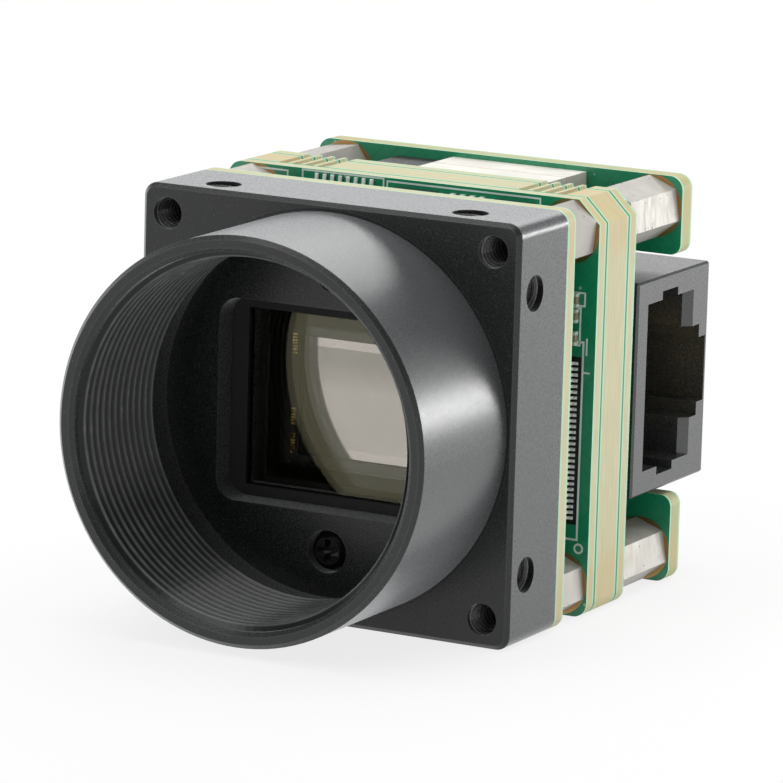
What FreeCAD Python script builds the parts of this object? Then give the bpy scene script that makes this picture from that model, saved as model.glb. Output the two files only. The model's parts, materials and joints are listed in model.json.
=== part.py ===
"""Board-level machine vision camera with a one-inch lens thread and a network jack.

Millimetres.  The origin is the centre of the lens mount's flange face.  +Y runs from the lens side
to the rear, +Z is up, and +X is the side that the network jack opens to.
"""

import FreeCAD
import Part
import math
import os

import Sketcher
from FreeCAD import Placement, Rotation, Vector

doc = FreeCAD.newDocument("vision_camera")
sheet = doc.addObject("Spreadsheet::Sheet", "Sizes")
parts = []


class Size:
    """A length in mm together with the sheet expression that drives it."""

    def __init__(self, value, text):
        self.value = value
        self.text = text

    def __add__(self, other):
        other = as_size(other)
        return Size(self.value + other.value, "(%s + %s)" % (self.text, other.text))

    def __sub__(self, other):
        other = as_size(other)
        return Size(self.value - other.value, "(%s - %s)" % (self.text, other.text))

    def __mul__(self, factor):
        return Size(self.value * factor, "(%s * %s)" % (self.text, factor))

    def __truediv__(self, factor):
        return Size(self.value / factor, "(%s / %s)" % (self.text, factor))

    def __neg__(self):
        return Size(-self.value, "(-%s)" % self.text)


def as_size(number):
    """Give a plain number the form of a Size."""
    if isinstance(number, Size):
        return number
    return Size(float(number), "(%s)" % float(number))


def size(name, value):
    """Write one named value in the sheet and return it."""
    size.row += 1
    sheet.set("A%d" % size.row, name)
    sheet.set("B%d" % size.row, str(value))
    sheet.setAlias("B%d" % size.row, name)
    return Size(value, "Sizes." + name)


size.row = 0

# front housing
body_side = size("body_side", 29.0)
body_corner = size("body_corner", 1.0)
edge_break = size("edge_break", 0.3)
plate_thickness = size("plate_thickness", 7.0)
tube_length = size("tube_length", 11.75)
tube_radius = size("tube_radius", 13.85)
lens_thread_radius = size("lens_thread_radius", 12.7)
lens_thread_length = size("lens_thread_length", 10.4)
relief_depth = size("relief_depth", 0.2)
floor_depth = size("floor_depth", 12.75)
root_groove_width = size("root_groove_width", 0.25)
root_groove_depth = size("root_groove_depth", 0.15)
recess_width = size("recess_width", 17.6)
recess_height = size("recess_height", 14.1)
recess_corner = size("recess_corner", 1.5)
recess_ledge_depth = size("recess_ledge_depth", 2.7)
window_width = size("window_width", 14.8)
window_height = size("window_height", 12.4)
window_corner = size("window_corner", 0.6)
ledge_thickness = size("ledge_thickness", 0.55)
cavity_width = size("cavity_width", 16.0)
cavity_height = size("cavity_height", 14.4)
front_hole_radius = size("front_hole_radius", 1.1)
front_hole_offset = size("front_hole_offset", 12.5)
front_hole_depth = size("front_hole_depth", 4.0)
side_hole_radius = size("side_hole_radius", 1.25)
side_hole_offset = size("side_hole_offset", 9.6)
top_hole_offset = size("top_hole_offset", 9.5)
bottom_hole_offset = size("bottom_hole_offset", 10.1)
side_hole_depth = size("side_hole_depth", 3.4)
side_hole_setback = size("side_hole_setback", 2.35)

# filter
fit_gap = size("fit_gap", 0.1)
filter_frame_thickness = size("filter_frame_thickness", 0.35)
filter_glass_thickness = size("filter_glass_thickness", 0.7)

# sensor
flange_to_sensor = size("flange_to_sensor", 17.53)
package_width = size("package_width", 14.4)
package_height = size("package_height", 12.8)
package_thickness = size("package_thickness", 1.9)
package_ledge_width = size("package_ledge_width", 11.8)
package_ledge_height = size("package_ledge_height", 9.8)
package_ledge_depth = size("package_ledge_depth", 0.5)
die_width = size("die_width", 9.2)
die_height = size("die_height", 8.2)
die_thickness = size("die_thickness", 0.4)
die_gap = size("die_gap", 0.1)
cover_glass_width = size("cover_glass_width", 13.4)
cover_glass_height = size("cover_glass_height", 11.6)
cover_glass_thickness = size("cover_glass_thickness", 0.5)

# floor screws
floor_screw_offset = size("floor_screw_offset", 9.7)
floor_screw_radius = size("floor_screw_radius", 0.8)
floor_head_radius = size("floor_head_radius", 1.3)
floor_head_height = size("floor_head_height", 0.9)
floor_head_rim = size("floor_head_rim", 0.35)
counterbore_radius = size("counterbore_radius", 1.5)
counterbore_depth = size("counterbore_depth", 1.0)
screw_hole_gap = size("screw_hole_gap", 0.1)
thread_gap = size("thread_gap", 0.02)
nut_radius = size("nut_radius", 1.5)
nut_height = size("nut_height", 1.4)

# boards and the gaps between them
board_thickness = size("board_thickness", 1.2)
front_gap = size("front_gap", 3.6)
spacer_thickness = size("spacer_thickness", 3.4)
spacer_opening = size("spacer_opening", 22.4)
spacer_boss = size("spacer_boss", 4.2)
core_chamfer = size("core_chamfer", 1.6)
bite_radius = size("bite_radius", 0.35)
bite_pitch = size("bite_pitch", 1.0)
bite_start = size("bite_start", 7.9)
rear_gap = size("rear_gap", 7.2)
rear_board_thickness = size("rear_board_thickness", 1.6)
stack_hole_offset = size("stack_hole_offset", 12.25)
board_hole_radius = size("board_hole_radius", 1.27)

# standoffs and rear screws
standoff_flats = size("standoff_flats", 3.85)
stud_radius = size("stud_radius", 0.9)
front_stud_grip = size("front_stud_grip", 2.1)
rear_stud_grip = size("rear_stud_grip", 2.3)
front_socket_depth = size("front_socket_depth", 2.7)
rear_socket_depth = size("rear_socket_depth", 4.0)
screw_head_radius = size("screw_head_radius", 1.9)
screw_head_height = size("screw_head_height", 1.3)
screw_head_rim = size("screw_head_rim", 0.45)
screw_grip = size("screw_grip", 3.4)
cross_span = size("cross_span", 2.3)
cross_width = size("cross_width", 0.62)
cross_depth = size("cross_depth", 0.75)

# links between sensor board and core
link_offset = size("link_offset", 10.95)
right_link_height = size("right_link_height", -2.2)
left_link_height = size("left_link_height", 1.6)
link_width = size("link_width", 3.4)
link_length = size("link_length", 13.0)
link_wall = size("link_wall", 0.6)
link_socket_height = size("link_socket_height", 2.3)
link_cavity_depth = size("link_cavity_depth", 1.3)
link_tongue_gap = size("link_tongue_gap", 0.1)

# inside and behind the core
processor_side = size("processor_side", 13.0)
memory_width = size("memory_width", 8.0)
memory_length = size("memory_length", 14.0)
chip_height = size("chip_height", 1.3)
transformer_left = size("transformer_left", -11.9)
transformer_width = size("transformer_width", 7.6)
transformer_length = size("transformer_length", 14.8)
transformer_lift = size("transformer_lift", 0.25)
transformer_height = size("transformer_height", 5.2)
transformer_lead_pitch = size("transformer_lead_pitch", 1.0)
transformer_lead_width = size("transformer_lead_width", 0.5)
transformer_lead_reach = size("transformer_lead_reach", 1.9)
transformer_lead_rise = size("transformer_lead_rise", 1.3)
lead_thickness = size("lead_thickness", 0.2)
mezzanine_left = size("mezzanine_left", -3.6)
mezzanine_length = size("mezzanine_length", 10.6)
mezzanine_top = size("mezzanine_top", 14.15)
mezzanine_width = size("mezzanine_width", 3.6)
mezzanine_socket_height = size("mezzanine_socket_height", 4.0)
mezzanine_wall = size("mezzanine_wall", 0.7)
mezzanine_tongue = size("mezzanine_tongue", 1.6)
inductor_left = size("inductor_left", -8.0)
inductor_width = size("inductor_width", 3.8)
inductor_top = size("inductor_top", 13.8)
inductor_depth = size("inductor_depth", 3.2)
inductor_height = size("inductor_height", 3.6)
edge_part_up = size("edge_part_up", 13.1)
edge_part_start = size("edge_part_start", -9.0)
edge_part_pitch = size("edge_part_pitch", 1.7)
edge_part_width = size("edge_part_width", 1.2)
edge_part_length = size("edge_part_length", 1.6)
edge_part_height = size("edge_part_height", 1.0)

# rear board and jack
cutout_left = size("cutout_left", -1.1)
cutout_bottom = size("cutout_bottom", -8.25)
cutout_top = size("cutout_top", 8.95)
cutout_corner = size("cutout_corner", 0.5)
arm_corner = size("arm_corner", 0.8)
jack_left = size("jack_left", -0.5)
jack_mouth = size("jack_mouth", 13.9)
jack_front_gap = size("jack_front_gap", 2.0)
jack_height = size("jack_height", 11.5)
jack_width = size("jack_width", 15.3)
jack_depth = size("jack_depth", 11.8)
jack_front_wall = size("jack_front_wall", 1.6)
jack_throat = size("jack_throat", 6.8)
jack_throat_width = size("jack_throat_width", 11.9)
jack_notch_start = size("jack_notch_start", 2.3)
jack_notch_length = size("jack_notch_length", 2.5)
jack_notch_depth = size("jack_notch_depth", 0.6)
jack_step = size("jack_step", 1.7)
jack_step_width = size("jack_step_width", 6.6)
jack_latch_wall = size("jack_latch_wall", 0.35)
jack_latch_width = size("jack_latch_width", 4.7)
jack_lead_in = size("jack_lead_in", 0.6)
jack_edge_break = size("jack_edge_break", 0.15)
jack_ledge_depth = size("jack_ledge_depth", 1.8)
jack_ledge_width = size("jack_ledge_width", 2.4)
jack_ledge_shift = size("jack_ledge_shift", 1.0)
contact_pitch = size("contact_pitch", 1.02)
contact_width = size("contact_width", 0.4)
contact_thickness = size("contact_thickness", 0.3)
contact_setback = size("contact_setback", 2.6)
contact_flat = size("contact_flat", 1.6)
contact_nose = size("contact_nose", 0.6)
contact_root = size("contact_root", 1.5)
contact_rise = size("contact_rise", 3.2)
contact_rise_low = size("contact_rise_low", 2.8)
label_side = size("label_side", 6.1)
label_corner = size("label_corner", 0.5)
label_thickness = size("label_thickness", 0.08)
label_across = size("label_across", 6.6)
label_up = size("label_up", -0.2)

# parts on the rear board
power_chip_across = size("power_chip_across", -6.5)
power_chip_up = size("power_chip_up", 6.2)
power_chip_width = size("power_chip_width", 3.8)
power_chip_length = size("power_chip_length", 4.8)
power_chip_lift = size("power_chip_lift", 0.1)
power_chip_height = size("power_chip_height", 1.4)
power_lead_pitch = size("power_lead_pitch", 1.27)
power_lead_width = size("power_lead_width", 0.42)
power_lead_reach = size("power_lead_reach", 1.15)
power_lead_rise = size("power_lead_rise", 0.6)
bridge_width = size("bridge_width", 3.15)
bridge_length = size("bridge_length", 3.8)
bridge_height = size("bridge_height", 1.6)
bridge_up = size("bridge_up", -5.75)
bridge_one_across = size("bridge_one_across", -4.1)
bridge_two_across = size("bridge_two_across", -8.15)
bridge_lead_pitch = size("bridge_lead_pitch", 2.5)
bridge_lead_width = size("bridge_lead_width", 0.6)
bridge_lead_reach = size("bridge_lead_reach", 0.85)
bridge_lead_height = size("bridge_lead_height", 0.3)
surge_across = size("surge_across", -7.5)
surge_up = size("surge_up", -0.5)
surge_width = size("surge_width", 4.3)
surge_length = size("surge_length", 3.6)
surge_height = size("surge_height", 2.1)
surge_lead_width = size("surge_lead_width", 2.2)
surge_lead_reach = size("surge_lead_reach", 0.7)
surge_lead_height = size("surge_lead_height", 1.2)
diode_up = size("diode_up", -11.5)
diode_width = size("diode_width", 1.45)
diode_length = size("diode_length", 2.8)
diode_height = size("diode_height", 1.15)
diode_lead_width = size("diode_lead_width", 0.95)
diode_lead_reach = size("diode_lead_reach", 0.5)
diode_lead_height = size("diode_lead_height", 0.45)
diode_places = [size("diode_across_%d" % (number + 1), across)
                for number, across in enumerate((-0.75, -3.1, -5.45, -8.0))]
large_cap_across = size("large_cap_across", -12.75)
large_cap_width = size("large_cap_width", 2.4)
large_cap_length = size("large_cap_length", 3.2)
large_cap_height = size("large_cap_height", 1.75)
large_cap_one_up = size("large_cap_one_up", 0.2)
large_cap_two_up = size("large_cap_two_up", -5.45)
cap_end = size("cap_end", 0.5)
middle_cap_length = size("middle_cap_length", 2.0)
middle_cap_places = [
    (size("middle_cap_across_%d" % (number + 1), across), size("middle_cap_up_%d" % (number + 1), up))
    for number, (across, up) in enumerate(((-12.75, 3.8), (-4.7, 2.3), (-8.0, 2.3)))]
middle_cap_width = size("middle_cap_width", 1.25)
middle_cap_height = size("middle_cap_height", 0.9)
small_cap_length = size("small_cap_length", 1.0)
small_cap_places = [
    (size("small_cap_across_%d" % (number + 1), across), size("small_cap_up_%d" % (number + 1), up))
    for number, (across, up) in enumerate(((8.05, 11.85), (-12.3, -8.8), (8.35, -12.3)))]
small_cap_width = size("small_cap_width", 0.5)
small_cap_height = size("small_cap_height", 0.5)
resistor_height = size("resistor_height", 0.5)
small_resistor_across = size("small_resistor_across", -7.9)
small_resistor_up = size("small_resistor_up", 10.0)
small_resistor_width = size("small_resistor_width", 0.85)
small_resistor_length = size("small_resistor_length", 1.6)
large_resistor_across = size("large_resistor_across", -12.1)
large_resistor_up = size("large_resistor_up", 6.3)
large_resistor_width = size("large_resistor_width", 1.25)
large_resistor_length = size("large_resistor_length", 2.0)
chip_break = size("chip_break", 0.08)

# levels along Y
plate_front = tube_length
plate_rear = plate_front + plate_thickness
sensor_board_rear = plate_rear + board_thickness
core_front = sensor_board_rear + front_gap
spacer_front = core_front + board_thickness
spacer_rear = spacer_front + spacer_thickness
core_rear = spacer_rear + board_thickness
rear_board_front = core_rear + rear_gap
rear_board_rear = rear_board_front + rear_board_thickness
half_side = body_side / 2

CORNERS = ((1, 1), (1, -1), (-1, 1), (-1, -1))


def new_body(label):
    """Add an empty body that may hold several separate solids."""
    body = doc.addObject("PartDesign::Body", label)
    body.Label = label
    body.AllowCompound = True
    parts.append(body)
    return body


def new_sketch(body, name, role, level):
    """Add a sketch on one of the body's origin planes, raised along the plane's normal."""
    sketch = body.newObject("Sketcher::SketchObject", body.Label + "_" + name)
    plane = [item for item in body.Origin.OriginFeatures if item.Role == role][0]
    sketch.AttachmentSupport = [(plane, "")]
    sketch.MapMode = "FlatFace"
    level = as_size(level)
    sketch.AttachmentOffset = Placement(Vector(0, 0, level.value), Rotation())
    sketch.setExpression("AttachmentOffset.Base.z", level.text)
    return sketch


def facing(body, name, level):
    """Add a sketch seen from the lens side, at a level along Y."""
    return new_sketch(body, name, "XZ_Plane", -as_size(level))


def drive(sketch, kind, refs, value):
    """Add one dimension and bind it to its expression."""
    value = as_size(value)
    number = sketch.addConstraint(Sketcher.Constraint(kind, *refs, value.value))
    sketch.setExpression("Constraints[%d]" % number, value.text)


def pin_point(sketch, line, end, across, up):
    """Hold one end of a line at a place measured from the sketch's origin."""
    for kind, value in (("DistanceX", across), ("DistanceY", up)):
        value = as_size(value)
        if abs(value.value) < 1e-9:
            on_axis = -2 if kind == "DistanceX" else -1
            sketch.addConstraint(Sketcher.Constraint("PointOnObject", line, end, on_axis))
        else:
            drive(sketch, kind, (-1, 1, line, end), value)


def outline(sketch, points):
    """Draw a closed outline of straight lines through the given points."""
    points = [(as_size(across), as_size(up)) for across, up in points]
    places = [Vector(across.value, up.value, 0) for across, up in points]
    first = sketch.GeometryCount
    count = len(points)
    for index in range(count):
        sketch.addGeometry(Part.LineSegment(places[index], places[(index + 1) % count]))
    for index in range(count):
        follower = first + (index + 1) % count
        sketch.addConstraint(Sketcher.Constraint("Coincident", first + index, 2, follower, 1))
    for index, (across, up) in enumerate(points):
        pin_point(sketch, first + index, 1, across, up)


def rectangle(sketch, across, up, width, height):
    """Draw a rectangle round a centre."""
    across, up = as_size(across), as_size(up)
    left = across - as_size(width) / 2
    right = across + as_size(width) / 2
    low = up - as_size(height) / 2
    high = up + as_size(height) / 2
    outline(sketch, [(left, low), (right, low), (right, high), (left, high)])


def disc(sketch, across, up, radius):
    """Draw a circle."""
    across, up, radius = as_size(across), as_size(up), as_size(radius)
    centre = Vector(across.value, up.value, 0)
    index = sketch.addGeometry(Part.Circle(centre, Vector(0, 0, 1), radius.value))
    pin_point(sketch, index, 3, across, up)
    drive(sketch, "Radius", (index,), radius)


def pad(body, sketch, length, reverse=True):
    """Raise a sketch into a solid; a facing sketch grows towards +Y."""
    feature = body.newObject("PartDesign::Pad", sketch.Label + "_pad")
    feature.Profile = sketch
    feature.Reversed = reverse
    feature.setExpression("Length", as_size(length).text)
    feature.Refine = True
    return feature


def pocket(body, sketch, length, reverse=False):
    """Cut a sketch into the body; a facing sketch cuts towards +Y."""
    feature = body.newObject("PartDesign::Pocket", sketch.Label + "_cut")
    feature.Profile = sketch
    feature.Reversed = reverse
    feature.setExpression("Length", as_size(length).text)
    return feature


def turn(body, kind, name, points):
    """Turn a profile of (radius, y) points round the Y axis."""
    sketch = new_sketch(body, name, "XY_Plane", 0)
    outline(sketch, points)
    feature = body.newObject("PartDesign::" + kind, sketch.Label + "_turned")
    feature.Profile = sketch
    feature.ReferenceAxis = (sketch, ["V_Axis"])
    feature.Angle = 360
    return feature


def dress(body, kind, amount, test):
    """Round or chamfer every edge of the body's last feature that passes a test."""
    doc.recompute()
    base = body.Tip
    names = []
    for index, edge in enumerate(base.Shape.Edges):
        if test(edge):
            names.append("Edge%d" % (index + 1))
    feature = body.newObject("PartDesign::" + kind, body.Label + "_" + kind.lower())
    feature.Base = (base, names)
    feature.setExpression("Radius" if kind == "Fillet" else "Size", as_size(amount).text)
    return feature


def along(axis):
    """Return a test for straight edges that run along one axis."""
    def test(edge):
        if edge.Curve.TypeId != "Part::GeomLine":
            return False
        start, end = edge.Vertexes[0].Point, edge.Vertexes[-1].Point
        step = end - start
        return abs(abs(step[axis]) - step.Length) < 1e-6
    return test


def at_corner(across, up):
    """Return a test for edges along Y that stand at one place."""
    lengthwise = along(1)

    def test(edge):
        middle = edge.CenterOfMass
        near = abs(middle.x - across) < 1e-3 and abs(middle.z - up) < 1e-3
        return near and lengthwise(edge)
    return test


def at_level(level):
    """Return a test for straight edges that lie in a plane across Y."""
    def test(edge):
        if edge.Curve.TypeId != "Part::GeomLine":
            return False
        return all(abs(vertex.Point.y - level) < 1e-6 for vertex in edge.Vertexes)
    return test


def block(label, level, height, boxes, soften=None):
    """Make a body of blocks that stand on one level; each box is (x, z, width, length)."""
    body = new_body(label)
    sketch = facing(body, "outline", level)
    for across, up, width, length in boxes:
        rectangle(sketch, across, up, width, length)
    pad(body, sketch, height)
    if soften:
        dress(body, "Chamfer", chip_break, at_level((as_size(level) + height).value))
    return body


def board(label, level, thickness, hole_radius=board_hole_radius):
    """Make a square board with the four stack holes."""
    body = new_body(label)
    sketch = facing(body, "outline", level)
    rectangle(sketch, 0, 0, body_side, body_side)
    pad(body, sketch, thickness)
    stack_holes(body, level, thickness, hole_radius)
    return body


def stack_holes(body, level, depth, radius):
    """Cut the four corner holes that the studs and screws pass through."""
    sketch = facing(body, "stack_holes", level)
    for side, height in CORNERS:
        disc(sketch, stack_hole_offset * side, stack_hole_offset * height, radius)
    pocket(body, sketch, depth)


def round_corners(body, radius=body_corner):
    """Round the four outer edges that run along Y."""
    reach = half_side.value

    def test(edge):
        middle = edge.CenterOfMass
        return abs(abs(middle.x) - reach) < 1e-3 and abs(abs(middle.z) - reach) < 1e-3
    dress(body, "Fillet", radius, test)


# ---------------------------------------------------------------- front housing
housing = new_body("front_housing")
square = facing(housing, "plate", plate_front)
rectangle(square, 0, 0, body_side, body_side)
pad(housing, square, plate_thickness)
round_corners(housing)
dress(housing, "Chamfer", edge_break, at_level(plate_front.value))
tube_end = plate_front + 1
turn(housing, "Revolution", "tube", [
    (0, 0), (tube_radius - edge_break, 0), (tube_radius, edge_break),
    (tube_radius, tube_end), (0, tube_end)])
relief_radius = lens_thread_radius + relief_depth
turn(housing, "Groove", "bore", [
    (0, 0), (lens_thread_radius + edge_break, 0), (lens_thread_radius, edge_break),
    (lens_thread_radius, lens_thread_length), (relief_radius, lens_thread_length + relief_depth),
    (relief_radius, floor_depth), (0, floor_depth)])
groove_outer = tube_radius + root_groove_width
turn(housing, "Groove", "root", [
    (tube_radius, plate_front), (groove_outer, plate_front),
    (groove_outer, plate_front + root_groove_depth),
    (tube_radius, plate_front + root_groove_depth)])

recess = facing(housing, "recess", floor_depth)
rectangle(recess, 0, 0, recess_width, recess_height)
pocket(housing, recess, recess_ledge_depth)
recess_reach = (recess_width.value / 2, recess_height.value / 2)


def in_recess_corner(edge):
    """Tell the upright edges of the recess from the rest."""
    middle = edge.CenterOfMass
    near_side = abs(abs(middle.x) - recess_reach[0]) < 1e-3
    return near_side and abs(abs(middle.z) - recess_reach[1]) < 1e-3


dress(housing, "Fillet", recess_corner, in_recess_corner)
ledge_front = floor_depth + recess_ledge_depth
ledge_rear = ledge_front + ledge_thickness
window = facing(housing, "window", ledge_front)
rectangle(window, 0, 0, window_width, window_height)
pocket(housing, window, ledge_thickness)
cavity = facing(housing, "cavity", plate_rear)
rectangle(cavity, 0, 0, cavity_width, cavity_height)
pocket(housing, cavity, plate_rear - ledge_rear, reverse=True)

corner_hole = facing(housing, "corner_hole", plate_front)
disc(corner_hole, front_hole_offset, front_hole_offset, front_hole_radius)
first_hole = pocket(housing, corner_hole, front_hole_depth)
stud_hole = facing(housing, "stud_hole", plate_rear)
disc(stud_hole, stack_hole_offset, stack_hole_offset, stud_radius + thread_gap)
first_stud_hole = pocket(housing, stud_hole, front_stud_grip + 0.15, reverse=True)
for index, (original, sketch) in enumerate(((first_hole, corner_hole), (first_stud_hole, stud_hole))):
    ring = housing.newObject("PartDesign::PolarPattern", "corner_ring_%d" % (index + 1))
    ring.Originals = [original]
    ring.Axis = (sketch, ["N_Axis"])
    ring.Angle = 360
    ring.Occurrences = 4
    housing.Tip = ring

hole_level = plate_front + side_hole_setback
for side, flip in ((1, False), (-1, True)):
    name = "right" if side > 0 else "left"
    wall = new_sketch(housing, name + "_holes", "YZ_Plane", half_side * side)
    for up in (-1, 1):
        disc(wall, hole_level, side_hole_offset * up, side_hole_radius)
    pocket(housing, wall, side_hole_depth, reverse=flip)
    name, offset = ("top", top_hole_offset) if side > 0 else ("bottom", bottom_hole_offset)
    wall = new_sketch(housing, name + "_holes", "XY_Plane", half_side * side)
    for across in (-1, 1):
        disc(wall, offset * across, hole_level, side_hole_radius)
    pocket(housing, wall, side_hole_depth, reverse=flip)

bores = facing(housing, "counterbores", floor_depth)
for up in (-1, 1):
    disc(bores, 0, floor_screw_offset * up, counterbore_radius)
pocket(housing, bores, counterbore_depth)
floor_clear = floor_screw_radius + screw_hole_gap
shanks = facing(housing, "screw_holes", floor_depth + counterbore_depth)
for up in (-1, 1):
    disc(shanks, 0, floor_screw_offset * up, floor_clear)
pocket(housing, shanks, plate_rear - floor_depth - counterbore_depth)

# ---------------------------------------------------------------- filter
glass_front = ledge_front - filter_glass_thickness
frame_front = glass_front - filter_frame_thickness
frame = new_body("filter_frame")
sketch = facing(frame, "outline", frame_front)
rectangle(sketch, 0, 0, recess_width - fit_gap * 2, recess_height - fit_gap * 2)
rectangle(sketch, 0, 0, window_width, window_height)
pad(frame, sketch, filter_frame_thickness)
frame_half = (recess_width.value / 2 - fit_gap.value, recess_height.value / 2 - fit_gap.value)
for across, up in CORNERS:
    dress(frame, "Fillet", recess_corner, at_corner(across * frame_half[0], up * frame_half[1]))
glass = block("filter_glass", glass_front, filter_glass_thickness,
              [(0, 0, recess_width - fit_gap * 4, recess_height - fit_gap * 4)])
glass_half = (recess_width.value / 2 - 2 * fit_gap.value, recess_height.value / 2 - 2 * fit_gap.value)
for across, up in CORNERS:
    dress(glass, "Fillet", recess_corner, at_corner(across * glass_half[0], up * glass_half[1]))

# ---------------------------------------------------------------- sensor
package_front = plate_rear - package_thickness
package = block("sensor_package", package_front, package_thickness,
                [(0, 0, package_width, package_height)])
sketch = facing(package, "ledge", package_front)
rectangle(sketch, 0, 0, package_ledge_width, package_ledge_height)
pocket(package, sketch, package_ledge_depth)
seat_level = flange_to_sensor + die_thickness
sketch = facing(package, "seat", package_front + package_ledge_depth)
rectangle(sketch, 0, 0, die_width + die_gap * 2, die_height + die_gap * 2)
pocket(package, sketch, seat_level - package_front - package_ledge_depth)
block("sensor_die", flange_to_sensor, die_thickness, [(0, 0, die_width, die_height)])
block("sensor_cover_glass", package_front - cover_glass_thickness, cover_glass_thickness,
      [(0, 0, cover_glass_width, cover_glass_height)])

# ---------------------------------------------------------------- floor screws and their nuts
head_seat = floor_depth + counterbore_depth
nut_rear = sensor_board_rear + nut_height
screws = new_body("floor_screws")
heads = facing(screws, "heads", head_seat - floor_head_height)
for up in (-1, 1):
    disc(heads, 0, floor_screw_offset * up, floor_head_radius)
pad(screws, heads, floor_head_height)


def on_head_rim(edge):
    """Find the front rims of the floor screws' heads."""
    return abs(edge.CenterOfMass.y - (head_seat - floor_head_height).value) < 1e-6


dress(screws, "Chamfer", floor_head_rim, on_head_rim)
cross = facing(screws, "cross", head_seat - floor_head_height)
for up in (-1, 1):
    arm = cross_width * 0.75
    reach = cross_span * 0.36
    centre = floor_screw_offset * up
    half = arm / 2
    outline(cross, [
        (-half, centre - reach), (half, centre - reach), (half, centre - half),
        (reach, centre - half), (reach, centre + half), (half, centre + half),
        (half, centre + reach), (-half, centre + reach), (-half, centre + half),
        (-reach, centre + half), (-reach, centre - half), (-half, centre - half)])
pocket(screws, cross, floor_head_height * 0.6)
shafts = facing(screws, "shafts", head_seat)
for up in (-1, 1):
    disc(shafts, 0, floor_screw_offset * up, floor_screw_radius)
pad(screws, shafts, nut_rear - head_seat)
nuts = new_body("board_nuts")
sketch = facing(nuts, "outline", sensor_board_rear)
for up in (-1, 1):
    disc(sketch, 0, floor_screw_offset * up, nut_radius)
pad(nuts, sketch, nut_height)
sketch = facing(nuts, "bores", sensor_board_rear)
for up in (-1, 1):
    disc(sketch, 0, floor_screw_offset * up, floor_screw_radius + thread_gap)
pocket(nuts, sketch, nut_height)

# ---------------------------------------------------------------- sensor board
sensor_board = board("sensor_board", plate_rear, board_thickness)
sketch = facing(sensor_board, "screw_holes", plate_rear)
for up in (-1, 1):
    disc(sketch, 0, floor_screw_offset * up, floor_clear)
pocket(sensor_board, sketch, board_thickness)
round_corners(sensor_board)

# ---------------------------------------------------------------- core stack
for label, level, thickness in (("core_front_board", core_front, board_thickness),
                                ("core_spacer_frame", spacer_front, spacer_thickness),
                                ("core_rear_board", spacer_rear, board_thickness)):
    layer = board(label, level, thickness)
    if label == "core_spacer_frame":
        sketch = facing(layer, "opening", level)
        edge = spacer_opening / 2
        inner = edge - spacer_boss
        outline(sketch, [
            (inner, -edge), (edge, -inner), (edge, inner), (inner, edge),
            (-inner, edge), (-edge, inner), (-edge, -inner), (-inner, -edge)])
        pocket(layer, sketch, thickness)
    reach = half_side.value
    for across, up in CORNERS[1:]:
        dress(layer, "Fillet", body_corner, at_corner(across * reach, up * reach))
    dress(layer, "Chamfer", core_chamfer, at_corner(reach, reach))
    if label != "core_front_board":
        bites = new_sketch(layer, "bites", "XZ_Plane", -level)
        for side in (-1, 1):
            for step in range(4):
                place = (bite_start + bite_pitch * step) * side
                disc(bites, place, half_side, bite_radius)
        pocket(layer, bites, thickness)

block("processor_chip", spacer_front, chip_height, [(2.0, 0, processor_side, processor_side)], True)
block("memory_chip", spacer_rear - chip_height, chip_height, [(-3.0, 0, memory_width, memory_length)])

# ---------------------------------------------------------------- standoffs
FRONT_TURNS = (24.0, 36.0, 40.0, 30.0)
REAR_TURNS = (38.0, 40.0, 5.0, 27.0)


def standoff(label, corner, start, length, stud_length, socket_depth, angle):
    """Make a hexagonal standoff with a stud in front and a threaded socket behind."""
    body = new_body(label)
    sketch = facing(body, "hexagon", start)
    reach = standoff_flats / math.sqrt(3)
    turns = [math.radians(angle + 60 * step) for step in range(6)]
    outline(sketch, [(reach * math.cos(turn_), reach * math.sin(turn_)) for turn_ in turns])
    pad(body, sketch, length)
    sketch = facing(body, "socket", start + length)
    disc(sketch, 0, 0, stud_radius + thread_gap)
    pocket(body, sketch, socket_depth, reverse=True)
    sketch = facing(body, "stud", start - stud_length)
    disc(sketch, 0, 0, stud_radius)
    pad(body, sketch, stud_length)
    body.Placement = Placement(Vector(corner[0], 0, corner[1]), Rotation())
    body.setExpression("Placement.Base.x", corner[2].text)
    body.setExpression("Placement.Base.z", corner[3].text)
    return body


for index, (side, height) in enumerate(CORNERS):
    across, up = stack_hole_offset * side, stack_hole_offset * height
    corner = (across.value, up.value, across, up)
    number = index + 1
    standoff("front_standoff_%d" % number, corner, sensor_board_rear, front_gap,
             board_thickness + front_stud_grip, front_socket_depth, FRONT_TURNS[index])
    standoff("rear_standoff_%d" % number, corner, core_rear, rear_gap,
             core_rear - core_front + rear_stud_grip, rear_socket_depth, REAR_TURNS[index])

# ---------------------------------------------------------------- links between the boards
for name, side, up in (("right", 1, right_link_height), ("left", -1, left_link_height)):
    across = link_offset * side
    socket_front = core_front - link_socket_height
    socket = block("link_socket_" + name, socket_front, link_socket_height,
                   [(across, up, link_width, link_length)])
    sketch = facing(socket, "cavity", socket_front)
    rectangle(sketch, across, up, link_width - link_wall * 2, link_length - link_wall * 2)
    pocket(socket, sketch, link_cavity_depth)
    plug = block("link_plug_" + name, sensor_board_rear,
                 front_gap - link_socket_height - link_tongue_gap,
                 [(across, up, link_width, link_length)])
    shrink = link_wall * 2 + link_tongue_gap * 2
    sketch = facing(plug, "tongue", socket_front - link_tongue_gap)
    rectangle(sketch, across, up, link_width - shrink, link_length - shrink)
    pad(plug, sketch, link_cavity_depth)

# ---------------------------------------------------------------- parts behind the core
transformer_centre = transformer_left + transformer_width / 2
transformer = block("lan_transformer", core_rear + transformer_lift, transformer_height,
                    [(transformer_centre, 0, transformer_width, transformer_length)], True)


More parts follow.
